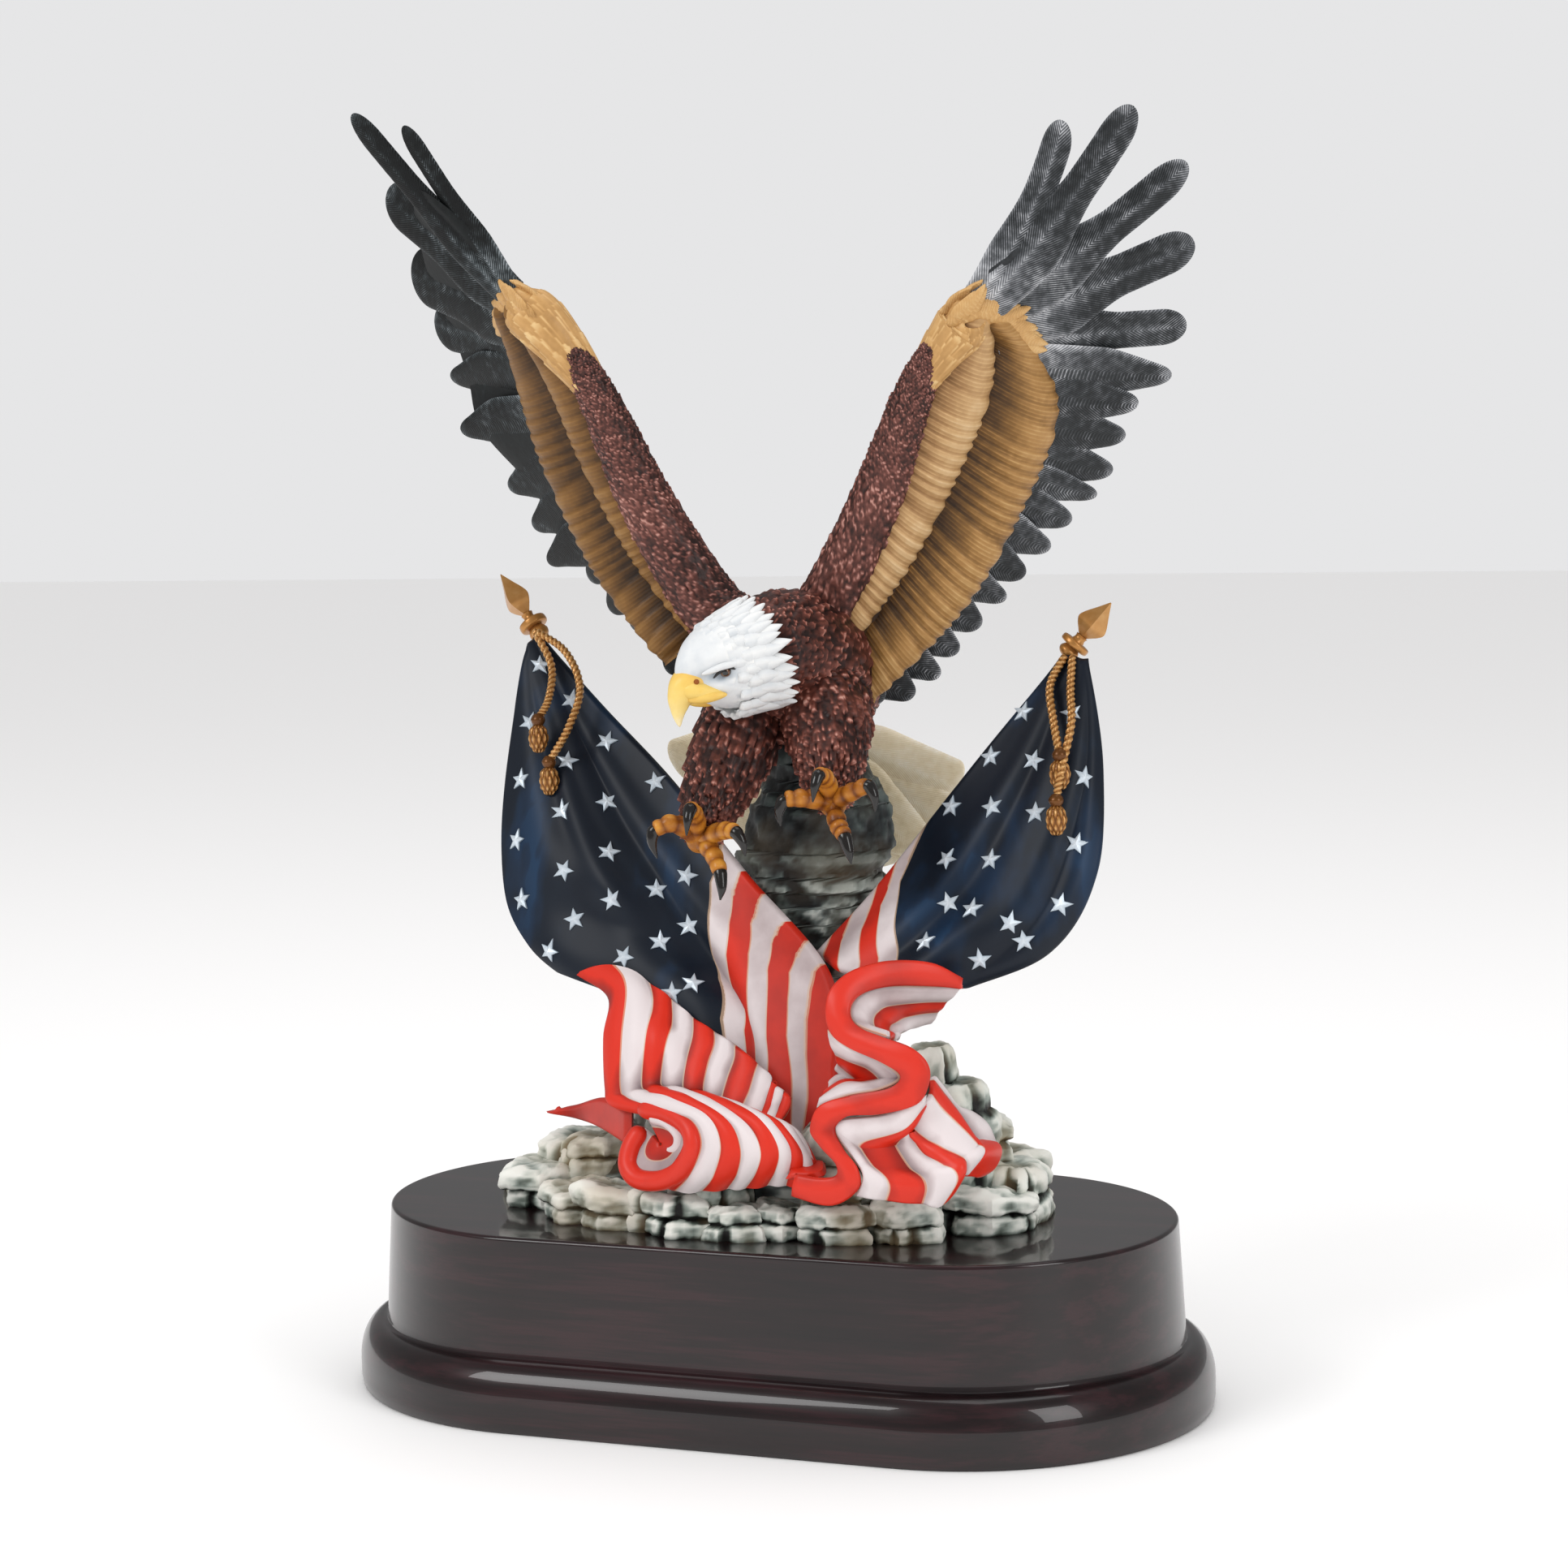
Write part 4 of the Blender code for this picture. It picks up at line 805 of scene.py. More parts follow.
# The white head's paint runs down to blue-grey at its low end: painted shade in its creases and sockets
WHITE = brushed("white_feathers", [(0.0, "#4c5866"), (0.22, "#85909c"), (0.42, "#b4bcc3"), (0.62, "#d2d4d5"),
                                   (1.0, "#e9e8e4")], 0.5, 0.05, grain=0.10)
TAIL_BUFF = brushed("tail_feathers", [(0.0, "#8f7a58"), (0.25, "#c9b48c"), (0.50, "#e6d5b2"),
                                      (0.75, "#f2e6cc"), (1.0, "#faf4e6")], 0.55, 0.05, grain=0.20,
                    barbs=0.34)
BEAK_PAINT = brushed("beak", [(0.0, "#8c4a12"), (0.28, "#d39a3c"), (0.55, "#e2bf63"), (0.80, "#e8cf86"),
                              (1.0, "#eddcae")], 0.4, 0.12, grain=0.08)
TOE_PAINT = brushed("toes", [(0.0, "#2c1406"), (0.26, "#774010"), (0.52, "#ad6c20"), (0.78, "#cf9238"),
                             (1.0, "#e2b568")], 0.42, 0.15, grain=0.32, scale=300)
TALON_PAINT = brushed("talons", [(0.0, "#050505"), (1.0, "#2a2624")], 0.2, 0.5, grain=0.05)
EYE_PAINT = brushed("eye", [(0.0, "#0c0705"), (0.55, "#1a0d06"), (0.62, "#4f2b10"), (0.84, "#5f3715"),
                            (0.90, "#050404"), (1.0, "#020202")], 0.1, 1.0, grain=0.0)
GOLD = brushed("gold_paint", [(0.0, "#3c200c"), (0.35, "#855424"), (0.65, "#b37e42"), (1.0, "#e0b880")], 0.33,
               0.20, 0.50, grain=0.10)
SILVER = brushed("silver_paint", [(0.0, "#74808c"), (0.5, "#aab7c2"), (1.0, "#dbe2e8")], 0.36, 0.2, 0.25,
                 grain=0.10)
LEFT_FLAG_PAINT = striped("left_flag", [NAVY] + [WHITE_CLOTH, RED] * 3)
RIGHT_FLAG_PAINT = striped("right_flag", [NAVY] + [WHITE_CLOTH, RED] * 2 + [WHITE_CLOTH])
LEFT_DRAPE_PAINT = striped("left_drape", [RED, WHITE_CLOTH] * 5 + [RED])
RED_FIRST = striped("red_first", [RED, WHITE_CLOTH] * 3 + [RED], 0.25)
WHITE_FIRST = striped("white_first", [WHITE_CLOTH, RED] * 3 + [WHITE_CLOTH], 0.25)
ROCK_PAINT = stone("rock", ROCK_STOPS, 0.45)
SHADED_CORE_PAINT = stone("shaded_rock", SHADED_CORE_STOPS, 0.12)
ROSEWOOD = lacquer("rosewood_lacquer")


def noisy(places, size, depth, seed):
    """Roughens a surface along its own directions."""
    facing = normals(places)
    flat = places.reshape(-1, 3)
    shift = np.array([17.3, 5.1, 9.7]) * seed
    values = [noise.fractal(Vector((p + shift) / size), 0.9, 2.1, 4) for p in flat]
    return places + facing * (depth * np.array(values)).reshape(places.shape[:2])[..., None]


def on_cloth(places, u, v):
    """Reads a cloth's surface at scattered shares across and down."""
    rows, cols = places.shape[0] - 1, places.shape[1] - 1
    x, y = np.clip(u, 0, 1) * rows, np.clip(v, 0, 1) * cols
    i, j = np.minimum(x.astype(int), rows - 1), np.minimum(y.astype(int), cols - 1)
    f, g = (x - i)[..., None], (y - j)[..., None]
    near = places[i, j] * (1 - g) + places[i, j + 1] * g
    far = places[i + 1, j] * (1 - g) + places[i + 1, j + 1] * g
    return near * (1 - f) + far * f


def star(places, u, v, size, turn, wall):
    """Makes one five-pointed star lying on a cloth."""
    step = 0.006
    a, b = np.array([u]), np.array([v])
    along_u = (on_cloth(places, a + step, b) - on_cloth(places, a - step, b))[0] / (2 * step)
    along_v = (on_cloth(places, a, b + step) - on_cloth(places, a, b - step))[0] / (2 * step)
    facing = unit(np.cross(along_u, along_v))
    facing = -facing if facing[1] > 0 else facing
    upward = unit(np.array([0.0, 0.0, 1.0]) - facing * facing[2])
    level = np.cross(upward, facing)
    angles = turn + np.pi / 5 * np.arange(11)
    reach = np.where(np.arange(11) % 2 == 0, size, size * 0.43)
    spokes = level * np.sin(angles)[:, None] + upward * np.cos(angles)[:, None]
    rings = []
    for share, height in ((0.0, 0.95), (0.5, 0.72), (0.93, 0.52), (1.0, 0.35), (1.0, -0.5)):
        offset = spokes * (reach * share)[:, None]
        moved = np.linalg.lstsq(np.stack([along_u, along_v], axis=1), offset.T, rcond=None)[0]
        rings.append(on_cloth(places, u + moved[0], v + moved[1]) + facing * (wall + height))
    ring = np.stack(rings)
    # Painted shade: each star is lightest at its raised middle and darkens down its sides to its foot
    return ring, {"relief": np.broadcast_to(np.array([0.9, 0.75, 0.6, 0.35, 0.2])[:, None], ring.shape[:2])}


def flag(curves, borders, folds, count_u, count_v):
    """Lays a flag's cloth through its curves, with soft folds."""
    across, down = np.linspace(0, 1, count_u), np.linspace(0, 1, count_v)
    places = patch(curves, across, down)
    u, v = np.meshgrid(across, down, indexing="ij")
    calm = ease((u - 0.05) / 0.35)
    fall = np.sin(np.pi / 2 * np.minimum(v * 1.4, 1))
    wave = 1.1 * np.sin(2 * np.pi * folds * u) * fall * (0.4 + 0.6 * calm)
    wave = wave + 0.35 * np.sin(2 * np.pi * (1.7 * folds * u + 0.35 * np.sin(4 * v))) * ease(v / 0.3) * calm
    places[..., 1] += wave
    # The relief mark follows the crests and creases of the folds; the cloth paint turns it into painted shade
    return places, {"relief": crest(places, 7, 0.42), "band": bands(u, v, borders)}


def striped_cloth(curves, count_u, count_v, first=0.0, ripple=0.0):
    """Lays a cloth whose curves are the borders of its stripes."""
    across, down = np.linspace(0, 1, count_u), np.linspace(0, 1, count_v)
    places = patch(curves, across, down)
    u, _ = np.meshgrid(across, down, indexing="ij")
    if ripple:
        facing = normals(places)
        facing = -facing if facing[..., 1].mean() > 0 else facing
        swell = ripple * np.sin(np.pi * (u * (len(curves) - 1))) ** 2
        places = places + facing * swell[..., None]
    band = np.clip(u * (len(curves) - 1), 0.0, len(curves) - 1 - 0.001) + first
    # The relief mark follows the crests and creases; the cloth paint turns it into painted shade
    return places, {"relief": crest(places, 6, 0.5), "band": band}


# Head: its middle and its own directions, onward along the gaze, aside and upward
HEAD_MIDDLE = np.array(HEAD, float)
ONWARD = unit(GAZE)
ASIDE = unit(np.cross(ONWARD, [0.0, 0.0, 1.0]))
UPWARD = np.cross(ASIDE, ONWARD)

# Head from front to back, as (onward, half width, height above the gaze, depth below it)
HEAD_STATIONS = [(14.0, 0.2, 2.6, -1.6), (13.5, 1.8, 4.6, 1.0), (12.0, 3.8, 7.0, 3.4), (9.6, 6.0, 9.4, 5.8),
                 (6.6, 8.6, 11.4, 8.0), (2.6, 10.8, 12.8, 10.0), (-2.0, 11.8, 13.4, 11.6),
                 (-6.0, 11.8, 13.2, 12.2), (-9.0, 10.6, 11.6, 11.2), (-11.0, 7.5, 8.4, 8.0),
                 (-12.0, 0.3, 0.3, 0.3)]

# Rows of locks, as (onward, number, length, flare, width)
LOCK_ROWS = [(2.0, 18, 6.0, 0.1, 3.2), (-0.5, 22, 6.6, 0.5, 3.4), (-3.0, 24, 7.0, 1.4, 3.5),
             (-5.2, 25, 7.2, 2.4, 3.5), (-7.4, 24, 6.8, 3.4, 3.4)]

# Rolls on each side of the head, as (onward, aside, up, radius)
BROW = [(9.6, 6.0, 2.5, 0.3), (7.6, 7.7, 2.8, 0.8), (4.8, 9.8, 3.1, 1.0), (1.4, 11.0, 2.7, 0.8),
        (-1.5, 11.6, 1.8, 0.2)]
EYELID = [(7.6, 7.7, 0.6, 0.2), (5.8, 9.4, 2.0, 0.5), (3.6, 10.3, 2.3, 0.5), (1.8, 10.9, 1.2, 0.2)]
GAPE = [(14.0, 2.4, -3.2, 0.8), (11.6, 4.3, -3.4, 1.7), (9.0, 6.3, -3.8, 1.7), (7.0, 7.8, -4.3, 1.1),
        (5.4, 8.8, -4.7, 0.3)]
CHEEK = [(13.6, 1.4, -0.6, 2.4), (11.8, 3.2, -1.3, 2.7), (9.8, 5.0, -2.3, 2.2), (7.6, 6.9, -3.5, 1.3),
         (6.0, 8.2, -4.4, 0.4)]

# Bill, as (onward, up, radius)
UPPER_BILL = [
    (3.0, -1.6, 4.6), (7.0, -1.0, 5.2), (11.4, -0.5, 5.2), (14.6, -2.5, 3.8), (16.2, -5.2, 2.4),
    (17.0, -7.4, 1.4), (17.5, -9.8, 0.3)
]
LOWER_BILL = [(0.0, -6.2, 2.3), (4.0, -6.1, 2.4), (7.5, -5.6, 2.2), (10.5, -5.0, 1.6), (12.4, -4.6, 0.9)]

# Knot as (fall, radius), tassel as (share of its length, radius), and the length of a cord's twist
KNOT_SHAPE = [(-2.0, 0.8), (-1.0, 1.7), (0.0, 2.1), (1.1, 1.7), (1.7, 1.2)]
TASSEL_SHAPE = [(0.14, 1.2), (0.30, 2.0), (0.52, 2.5), (0.76, 2.3), (0.93, 1.6), (1.06, 0.7)]
CORD_TWIST = 1.7

# Spear points: foot and tip of each, and their ball, collar, neck and blade, as
# (count round, count along, whether the end is round, relief, (share of the length, radius) along it)
FINIALS = [(LEFT_FLAG[0][0], (-93, 25, 179)), (RIGHT_FLAG[0][0], (94, 21, 170))]
FINIAL_PARTS = [ (24, 20, True, 0.62, [(-0.06, 0.6), (-0.02, 2.3), (0.05, 3.0), (0.12, 2.3), (0.15, 1.5)]),
                (24, 18, True, 0.62, [(0.13, 1.5), (0.14, 3.9), (0.19, 4.3), (0.24, 3.9), (0.25, 1.5)]),
                (24, 12, True, 0.62, [(0.22, 2.2), (0.30, 1.6), (0.36, 1.9)]),
                (4, 48, False, 0.70, [(0.33, 0.8), (0.40, 2.2), (0.48, 3.7), (0.56, 4.5), (0.66, 3.9),
                                      (0.82, 2.1), (0.95, 0.7), (1.0, 0.15)]), ]

# Plinth
PLINTH_LENGTH = plinth_high[0] - plinth_low[0]
PLINTH_WIDTH = plinth_high[1] - plinth_low[1]
PLINTH_HEIGHT = plinth_high[2] - plinth_low[2]
FOOT_HEIGHT = 0.0189
FOOT_INSET = 0.0080
BLOCK_TAPER = 0.00185
EDGE_ROUND = 0.0011


def plinth_outline():
    """Gives the plinth's profile from the middle of its top to the middle of its underside, in metres."""
    half = PLINTH_WIDTH / 2
    wall = half - FOOT_INSET
    top = wall - BLOCK_TAPER
    swell = FOOT_HEIGHT - 0.0045
    rows = [(0.0, PLINTH_HEIGHT), (top - EDGE_ROUND * 4, PLINTH_HEIGHT),
            (top - EDGE_ROUND * 1.6, PLINTH_HEIGHT)]
    for k in range(9):
        a = math.radians(90 * k / 8)
        rows.append((top - EDGE_ROUND * (1 - math.sin(a)), PLINTH_HEIGHT - EDGE_ROUND * (1 - math.cos(a))))
    rows += [(wall - 0.0001, FOOT_HEIGHT + 0.0026), (wall, FOOT_HEIGHT + 0.0008),
             (wall + 0.0002, FOOT_HEIGHT + 0.0002), (wall + 0.0006, FOOT_HEIGHT),
             (wall + 0.0014, FOOT_HEIGHT - 0.0002)]
    for k in range(15):
        a = math.radians(90 * k / 14)
        rows.append((wall + 0.0016 + (half - wall - 0.0016) * math.sin(a),
                     swell * 0.55 + (FOOT_HEIGHT - swell * 0.55 - 0.0002) * math.cos(a)))
    rows += [(half, swell * 0.30), (half, swell * 0.22), (half - 0.0005, 0.0006), (half - 0.0012, 0.0),
             (half - 0.004, 0.0), (0.0, 0.0)]
    return rows


def plinth():
    """Turns the plinth's profile round its racetrack path."""
    rows = plinth_outline()
    shift = (PLINTH_LENGTH - PLINTH_WIDTH) / 2
    ends = np.linspace(-np.pi / 2, np.pi / 2, 97)
    angles = np.concatenate([ends, ends + np.pi, [ends[0] + 2 * np.pi]])
    shifts = np.concatenate([np.full(97, shift), np.full(97, -shift), [shift]])
    places = np.zeros((len(rows), len(angles), 3))
    for i, (reach, height) in enumerate(rows):
        places[i, :, 0] = shifts + reach * np.cos(angles)
        places[i, :, 1] = reach * np.sin(angles)
        places[i, :, 2] = height
    turned = (places - BASE) / UNIT
    return finish([(turned, {})], "lacquered_plinth", "plinth", ROSEWOOD, 40)


def slab_outline(pick, seed, around):
    """Gives the worn, many-cornered outline of a slab, about one unit across."""
    sides = 6 + seed % 3
    corners = [0.78 + 0.34 * pick.random() for _ in range(sides)]
    share = np.linspace(0, sides, around + 1)
    k = np.minimum(share.astype(int), sides - 1)
    f = (share - k)[:, None]
    turn = 0.4 * seed
    bearings = [2 * math.pi * (n + 0.5 * pick.random()) / sides + turn for n in range(sides)]
    points = np.array([[c * math.cos(a), c * math.sin(a)]
                       for c, a in zip(corners + corners[:1], bearings + [bearings[0] + 2 * math.pi])])
    return points[k] * (1 - f) + points[k + 1] * f


def slab_rock(x, y, half_x, half_y, low, high, seed):
    """Makes one split, layered rock."""
    pick = random.Random(seed * 3 + 1)
    around = 66
    ring = slab_outline(pick, seed, around)
    tall = high - low
    layers = 1 + (tall > 8) + (tall > 15)
    edges = np.cumsum([0.7 + 0.6 * pick.random() for _ in range(layers)])
    edges = edges / edges[-1]
    cracks = [(pick.random(), 0.012 + 0.012 * pick.random()) for _ in range(4)]
    angle = np.linspace(0, 1, around + 1)
    rings = []
    tones = []
    for i in range(25):
        t = i / 24
        layer = int(np.searchsorted(edges, min(t, 0.999)))
        floor = edges[layer - 1] if layer else 0.0
        step = 0.16 * (chance(layer, seed) - 0.35)
        split = float(np.min(np.abs(edges[:-1] - t))) * tall if layers > 1 else 9.0
        belly = (t - floor) / (edges[layer] - floor)
        round_off = 0.10 * (abs(2 * belly - 0.9) ** 3)
        groove = 0.05 * math.exp(-(split / 0.5) ** 2)
        lean = np.full(around + 1, 1.0 - 0.04 * t - step - groove - round_off)
        # Painted shade and light: each layer darkens at its splits and low down, and is lighter near its top
        tone = np.full(around + 1, 0.50 - 0.34 * math.exp(-(split / 0.8) ** 2)
                       - 0.24 * (1 - float(ease(belly / 0.4))) + 0.16 * float(ease((belly - 0.6) / 0.25)))
        for n, (where, wide) in enumerate(cracks):
            if (layer + n) % 2 == 0 or layers == 1:
                gap = np.abs(np.mod(angle - where + 0.5, 1) - 0.5)
                lean -= 0.13 * np.exp(-(gap / wide) ** 2)
                # Painted shade in the cracks
                tone -= 0.45 * np.exp(-(gap / (1.3 * wide)) ** 2)
        if t > 0.86:
            lean *= 1 - 0.12 * ((t - 0.86) / 0.14) ** 2
        shift = 0.12 * np.array([chance(layer, seed, 1) - 0.5, chance(layer, seed, 2) - 0.5])
        flat = ring * lean[:, None] + shift
        rings.append(np.column_stack([x + half_x * flat[:, 0], y + half_y * flat[:, 1],
                                      np.full(around + 1, low + tall * t)]))
        tones.append(tone)
    top = rings[-1]
    middle = top.mean(axis=0)
    tilt = 0.22 * (chance(seed, 4) - 0.5), 0.22 * (chance(seed, 6) - 0.5)
    for r in (0.92, 0.78, 0.6, 0.4, 0.2, 0.0):
        flat = middle + (top - middle) * r
        flat[:, 2] = high + 0.25
        rings.append(flat)
        tones.append(np.full(around + 1, 0.52 - 0.10 * r))
    places = np.stack(rings)
    places[..., 2] += (places[..., 0] - x) * tilt[0] * (places[..., 2] - low) / tall
    places[..., 2] += (places[..., 1] - y) * tilt[1] * (places[..., 2] - low) / tall
    rough = noisy(places, 8.0, 1.3, seed)
    rough = noisy(rough, 2.6, 0.30, seed + 40)
    rough[:, -1] = rough[:, 0]
    facing = normals(rough)
    middle = np.array([x, y, (low + high) / 2])
    outward = ((rough - middle) * facing).sum(axis=2).mean() > 0
    rise = facing[..., 2] * (1 if outward else -1)
    proud = ((rough - blur(rough, 3)) * facing).sum(axis=2) * (1 if outward else -1)
    # Painted light on the faces that turn upward, and painted shade towards the rock's foot on the next line
    relief = np.clip(np.stack(tones) + 0.55 * proud + 0.08 * rise, 0, 1)
    relief = relief * ease((rough[..., 2] - low + 2) / 4)
    return rough, {"relief": relief}


def core_rock():
    """Makes the standing rock under the bird."""
    levels = np.array(CORE, float)
    around = 120
    rings = []
    for height in np.linspace(0, 134, 135):
        x, y, half_x, half_y = (np.interp(height, levels[:, 4], levels[:, n]) for n in range(4))
        layer = math.floor(height / 6.5 + 0.6 * math.sin(height * 0.21))
        pick = random.Random(layer * 7 + 3)
        corners = [0.90 + 0.16 * pick.random() for _ in range(14)]
        share = np.linspace(0, 14, around + 1)
        k = np.minimum(share.astype(int), 13)
        f = share - k
        turn = 0.3 * layer
        a = 2 * np.pi * share / 14 + turn
        ends = corners + corners[:1]
        reach = np.array([ends[n] * (1 - g) + ends[n + 1] * g for n, g in zip(k, f)])
        rings.append(np.column_stack([x + half_x * reach * np.cos(a), y + half_y * reach * np.sin(a),
                                      np.full(around + 1, height)]))
    places = noisy(np.stack(rings), 6.0, 0.9, 3)
    places = noisy(places, 1.8, 0.3, 9)
    places[:, -1] = places[:, 0]
    facing = normals(places)
    sign = 1 if (facing[..., 0] * (places[..., 0] - 5)).mean() > 0 else -1
    proud = ((places - blur(places, 3)) * facing).sum(axis=2) * sign
    # Painted light and shade: the rock is lighter towards its right side, and the next line darkens it
    # towards its top, under the bird
    relief = np.clip(0.15 + 0.65 * proud + 0.006 * (places[..., 0] - 8), 0, 0.8)
    return places, {"relief": relief * (1 - 0.5 * ease((places[..., 2] - 88) / 18))}


def rocks():
    """Makes the standing rock and the slabs round it."""
    slabs = [slab_rock(*numbers, seed + 1) for seed, numbers in enumerate(SLABS)]
    cast(slabs[:13], "front_rocks", ROCK_PAINT, 40)
    slabs += [slab_rock(*numbers, seed + 61) for seed, numbers in enumerate(BOULDERS)]
    # Painted shade: the rear slabs and the boulders are painted darker than the front ones
    for _, marks in slabs[13:]:
        marks["relief"] = 0.82 * marks["relief"]
    cast(slabs[13:], "rear_rocks", ROCK_PAINT, 40)
    cast([core_rock()], "standing_rock", SHADED_CORE_PAINT, 40)


def flags():
    """Makes both flags and their stars."""
    left, left_marks = flag(LEFT_FLAG, LEFT_BORDERS, 3, 122, 132)
    right, right_marks = flag(RIGHT_FLAG, RIGHT_BORDERS, 3, 92, 112)
    cast(cloth(left, FLAG_THICK, left_marks), "left_flag", LEFT_FLAG_PAINT)
    cast(cloth(right, FLAG_THICK, right_marks), "right_flag", RIGHT_FLAG_PAINT)
    stars = [star(left, u, v, 3.5, 0.35 * math.sin(7 * n), FLAG_THICK / 2) for n,
             (u, v) in enumerate(LEFT_STARS)]
    stars += [star(right, u, v, 3.4, 0.35 * math.sin(5 * n), FLAG_THICK / 2) for n,
              (u, v) in enumerate(RIGHT_STARS)]
    cast(stars, "stars", SILVER, 15)


def draped(curves, count_u, count_v, thick, first=0.0, ripple=0.0):
    """Lays a striped cloth and gives it its thickness."""
    places, marks = striped_cloth(curves, count_u, count_v, first, ripple)
    return cloth(places, thick, marks)


def one_stripe(faces):
    """Paints the faces of a cloth in its first stripe's colour."""
    return [(places, {**marks, "band": 0.5}) for places, marks in faces]


def hem_roll(points, radius, around, down, band):
    """Makes a rolled hem along points."""
    places, _ = limb([(*p, radius) for p in points], around, down)
    return places, {"relief": 0.6, "band": band}


def drapes():
    """Makes the cloth that lies over the rock."""
    cast(draped(LEFT_DRAPE_COLUMNS, 122, 90, 2.4, 0.0, 0.5), "left_drape", LEFT_DRAPE_PAINT)
    lobe = draped(LOBE, 40, 70, 2.2, 1.0, 0.4)
    hollow = draped(HOLLOW_CLOTH, 40, 54, 2.0, 1.0, 0.4)
    cast(lobe + hollow, "right_drape_upper", RED_FIRST)
    cast(draped(FAN, 84, 72, 2.2, 0.0, 0.4), "right_drape_fan", WHITE_FIRST)
    ridge = [[a * 0.5 + b * 0.5 + c for a, b, c in zip(p, q, (0, -0.8, 0))] for p,
             q in zip(RIM_LEFT, RIM_RIGHT)]
    heart = np.mean(SCROLL_ROLL, axis=0) + [0, 3.0, 0]
    halfway = [[*(0.5 * np.array(p) + 0.5 * heart + [0, 1.0, 0])] for p in SCROLL_ROLL]
    rim = one_stripe(draped([RIM_LEFT, ridge, RIM_RIGHT], 18, 170, 1.9))
    rolls = [hem_roll(SCROLL_ROLL, 2.8, 20, 90, 0.5), hem_roll(SCROLL_CURL, 2.0, 16, 50, 1.5)]
    inside = draped([SCROLL_ROLL, halfway, [list(heart)] * len(SCROLL_ROLL)], 16, 56, 1.6, 1.0)
    tip = one_stripe(draped(RED_TIP, 20, 16, 2.4))
    hem = one_stripe(draped(HEM, 16, 24, 2.4))
    rear = one_stripe(draped([REAR_TIP_TOP, REAR_TIP_LOW], 16, 36, 2.6))
    cast(rim + rolls + inside + tip + hem + rear, "red_hems", RED_FIRST)


def twist(u, v, turns):
    """Gives the height of a cord's two strands."""
    return np.abs(np.sin(np.pi * (2 * u + v * turns)))


def fray(u, v):
    """Gives the height of a tassel's crossing threads."""
    return np.abs(np.sin(np.pi * (9 * u + 2.2 * v))) * np.abs(np.sin(np.pi * (9 * u - 2.2 * v)))


def tassel_lift(u, v):
    """Raises a tassel's threads below its knot."""
    return 0.5 * fray(u, v) * ease(v / 0.15)


def shares(places):
    """Gives the shares round and down at the places of a limb."""
    rows, cols = places.shape[:2]
    v, u = np.meshgrid(np.linspace(0, 1, rows), np.linspace(0, 1, cols), indexing="ij")
    return u, v


def cords():
    """Makes the twisted cords, the tassels and the spear points."""
    made = []
    for cord in CORDS:
        length = sum(math.dist(a, b) for a, b in zip(cord, cord[1:]))

        def strand_lift(u, v, turns=length / CORD_TWIST):
            """Raises the two strands of this cord."""
            return 0.42 * twist(u, v, turns) - 0.15
        strand, _ = limb([(*p, CORD_RADIUS * 0.74) for p in cord], 14, int(length * 4.5), lift=strand_lift)
        made.append((strand, {"relief": 0.25 + 0.6 * twist(*shares(strand), length / CORD_TWIST)}))
        x, y, z = cord[-1]
        made.append(limb([(x, y, z - fall, wide) for fall, wide in KNOT_SHAPE], 20, 16))
        drop = [(x, y, z - share * TASSEL_LENGTH, wide) for share, wide in TASSEL_SHAPE]
        threads, _ = limb(drop, 72, 30, lift=tassel_lift)
        made.append((threads, {"relief": 0.15 + 0.7 * fray(*shares(threads))}))
    for foot, tip in FINIALS:
        foot, tip = np.array(foot, float), np.array(tip, float)
        for around, down, closed, relief, stations in FINIAL_PARTS:
            track = [(*(foot + (tip - foot) * share), radius) for share, radius in stations]
            body, _ = limb(track, around, down, closed=(True, closed))
            made.append((body, {"relief": relief}))
    cast(made, "gold_fittings", GOLD, 35)


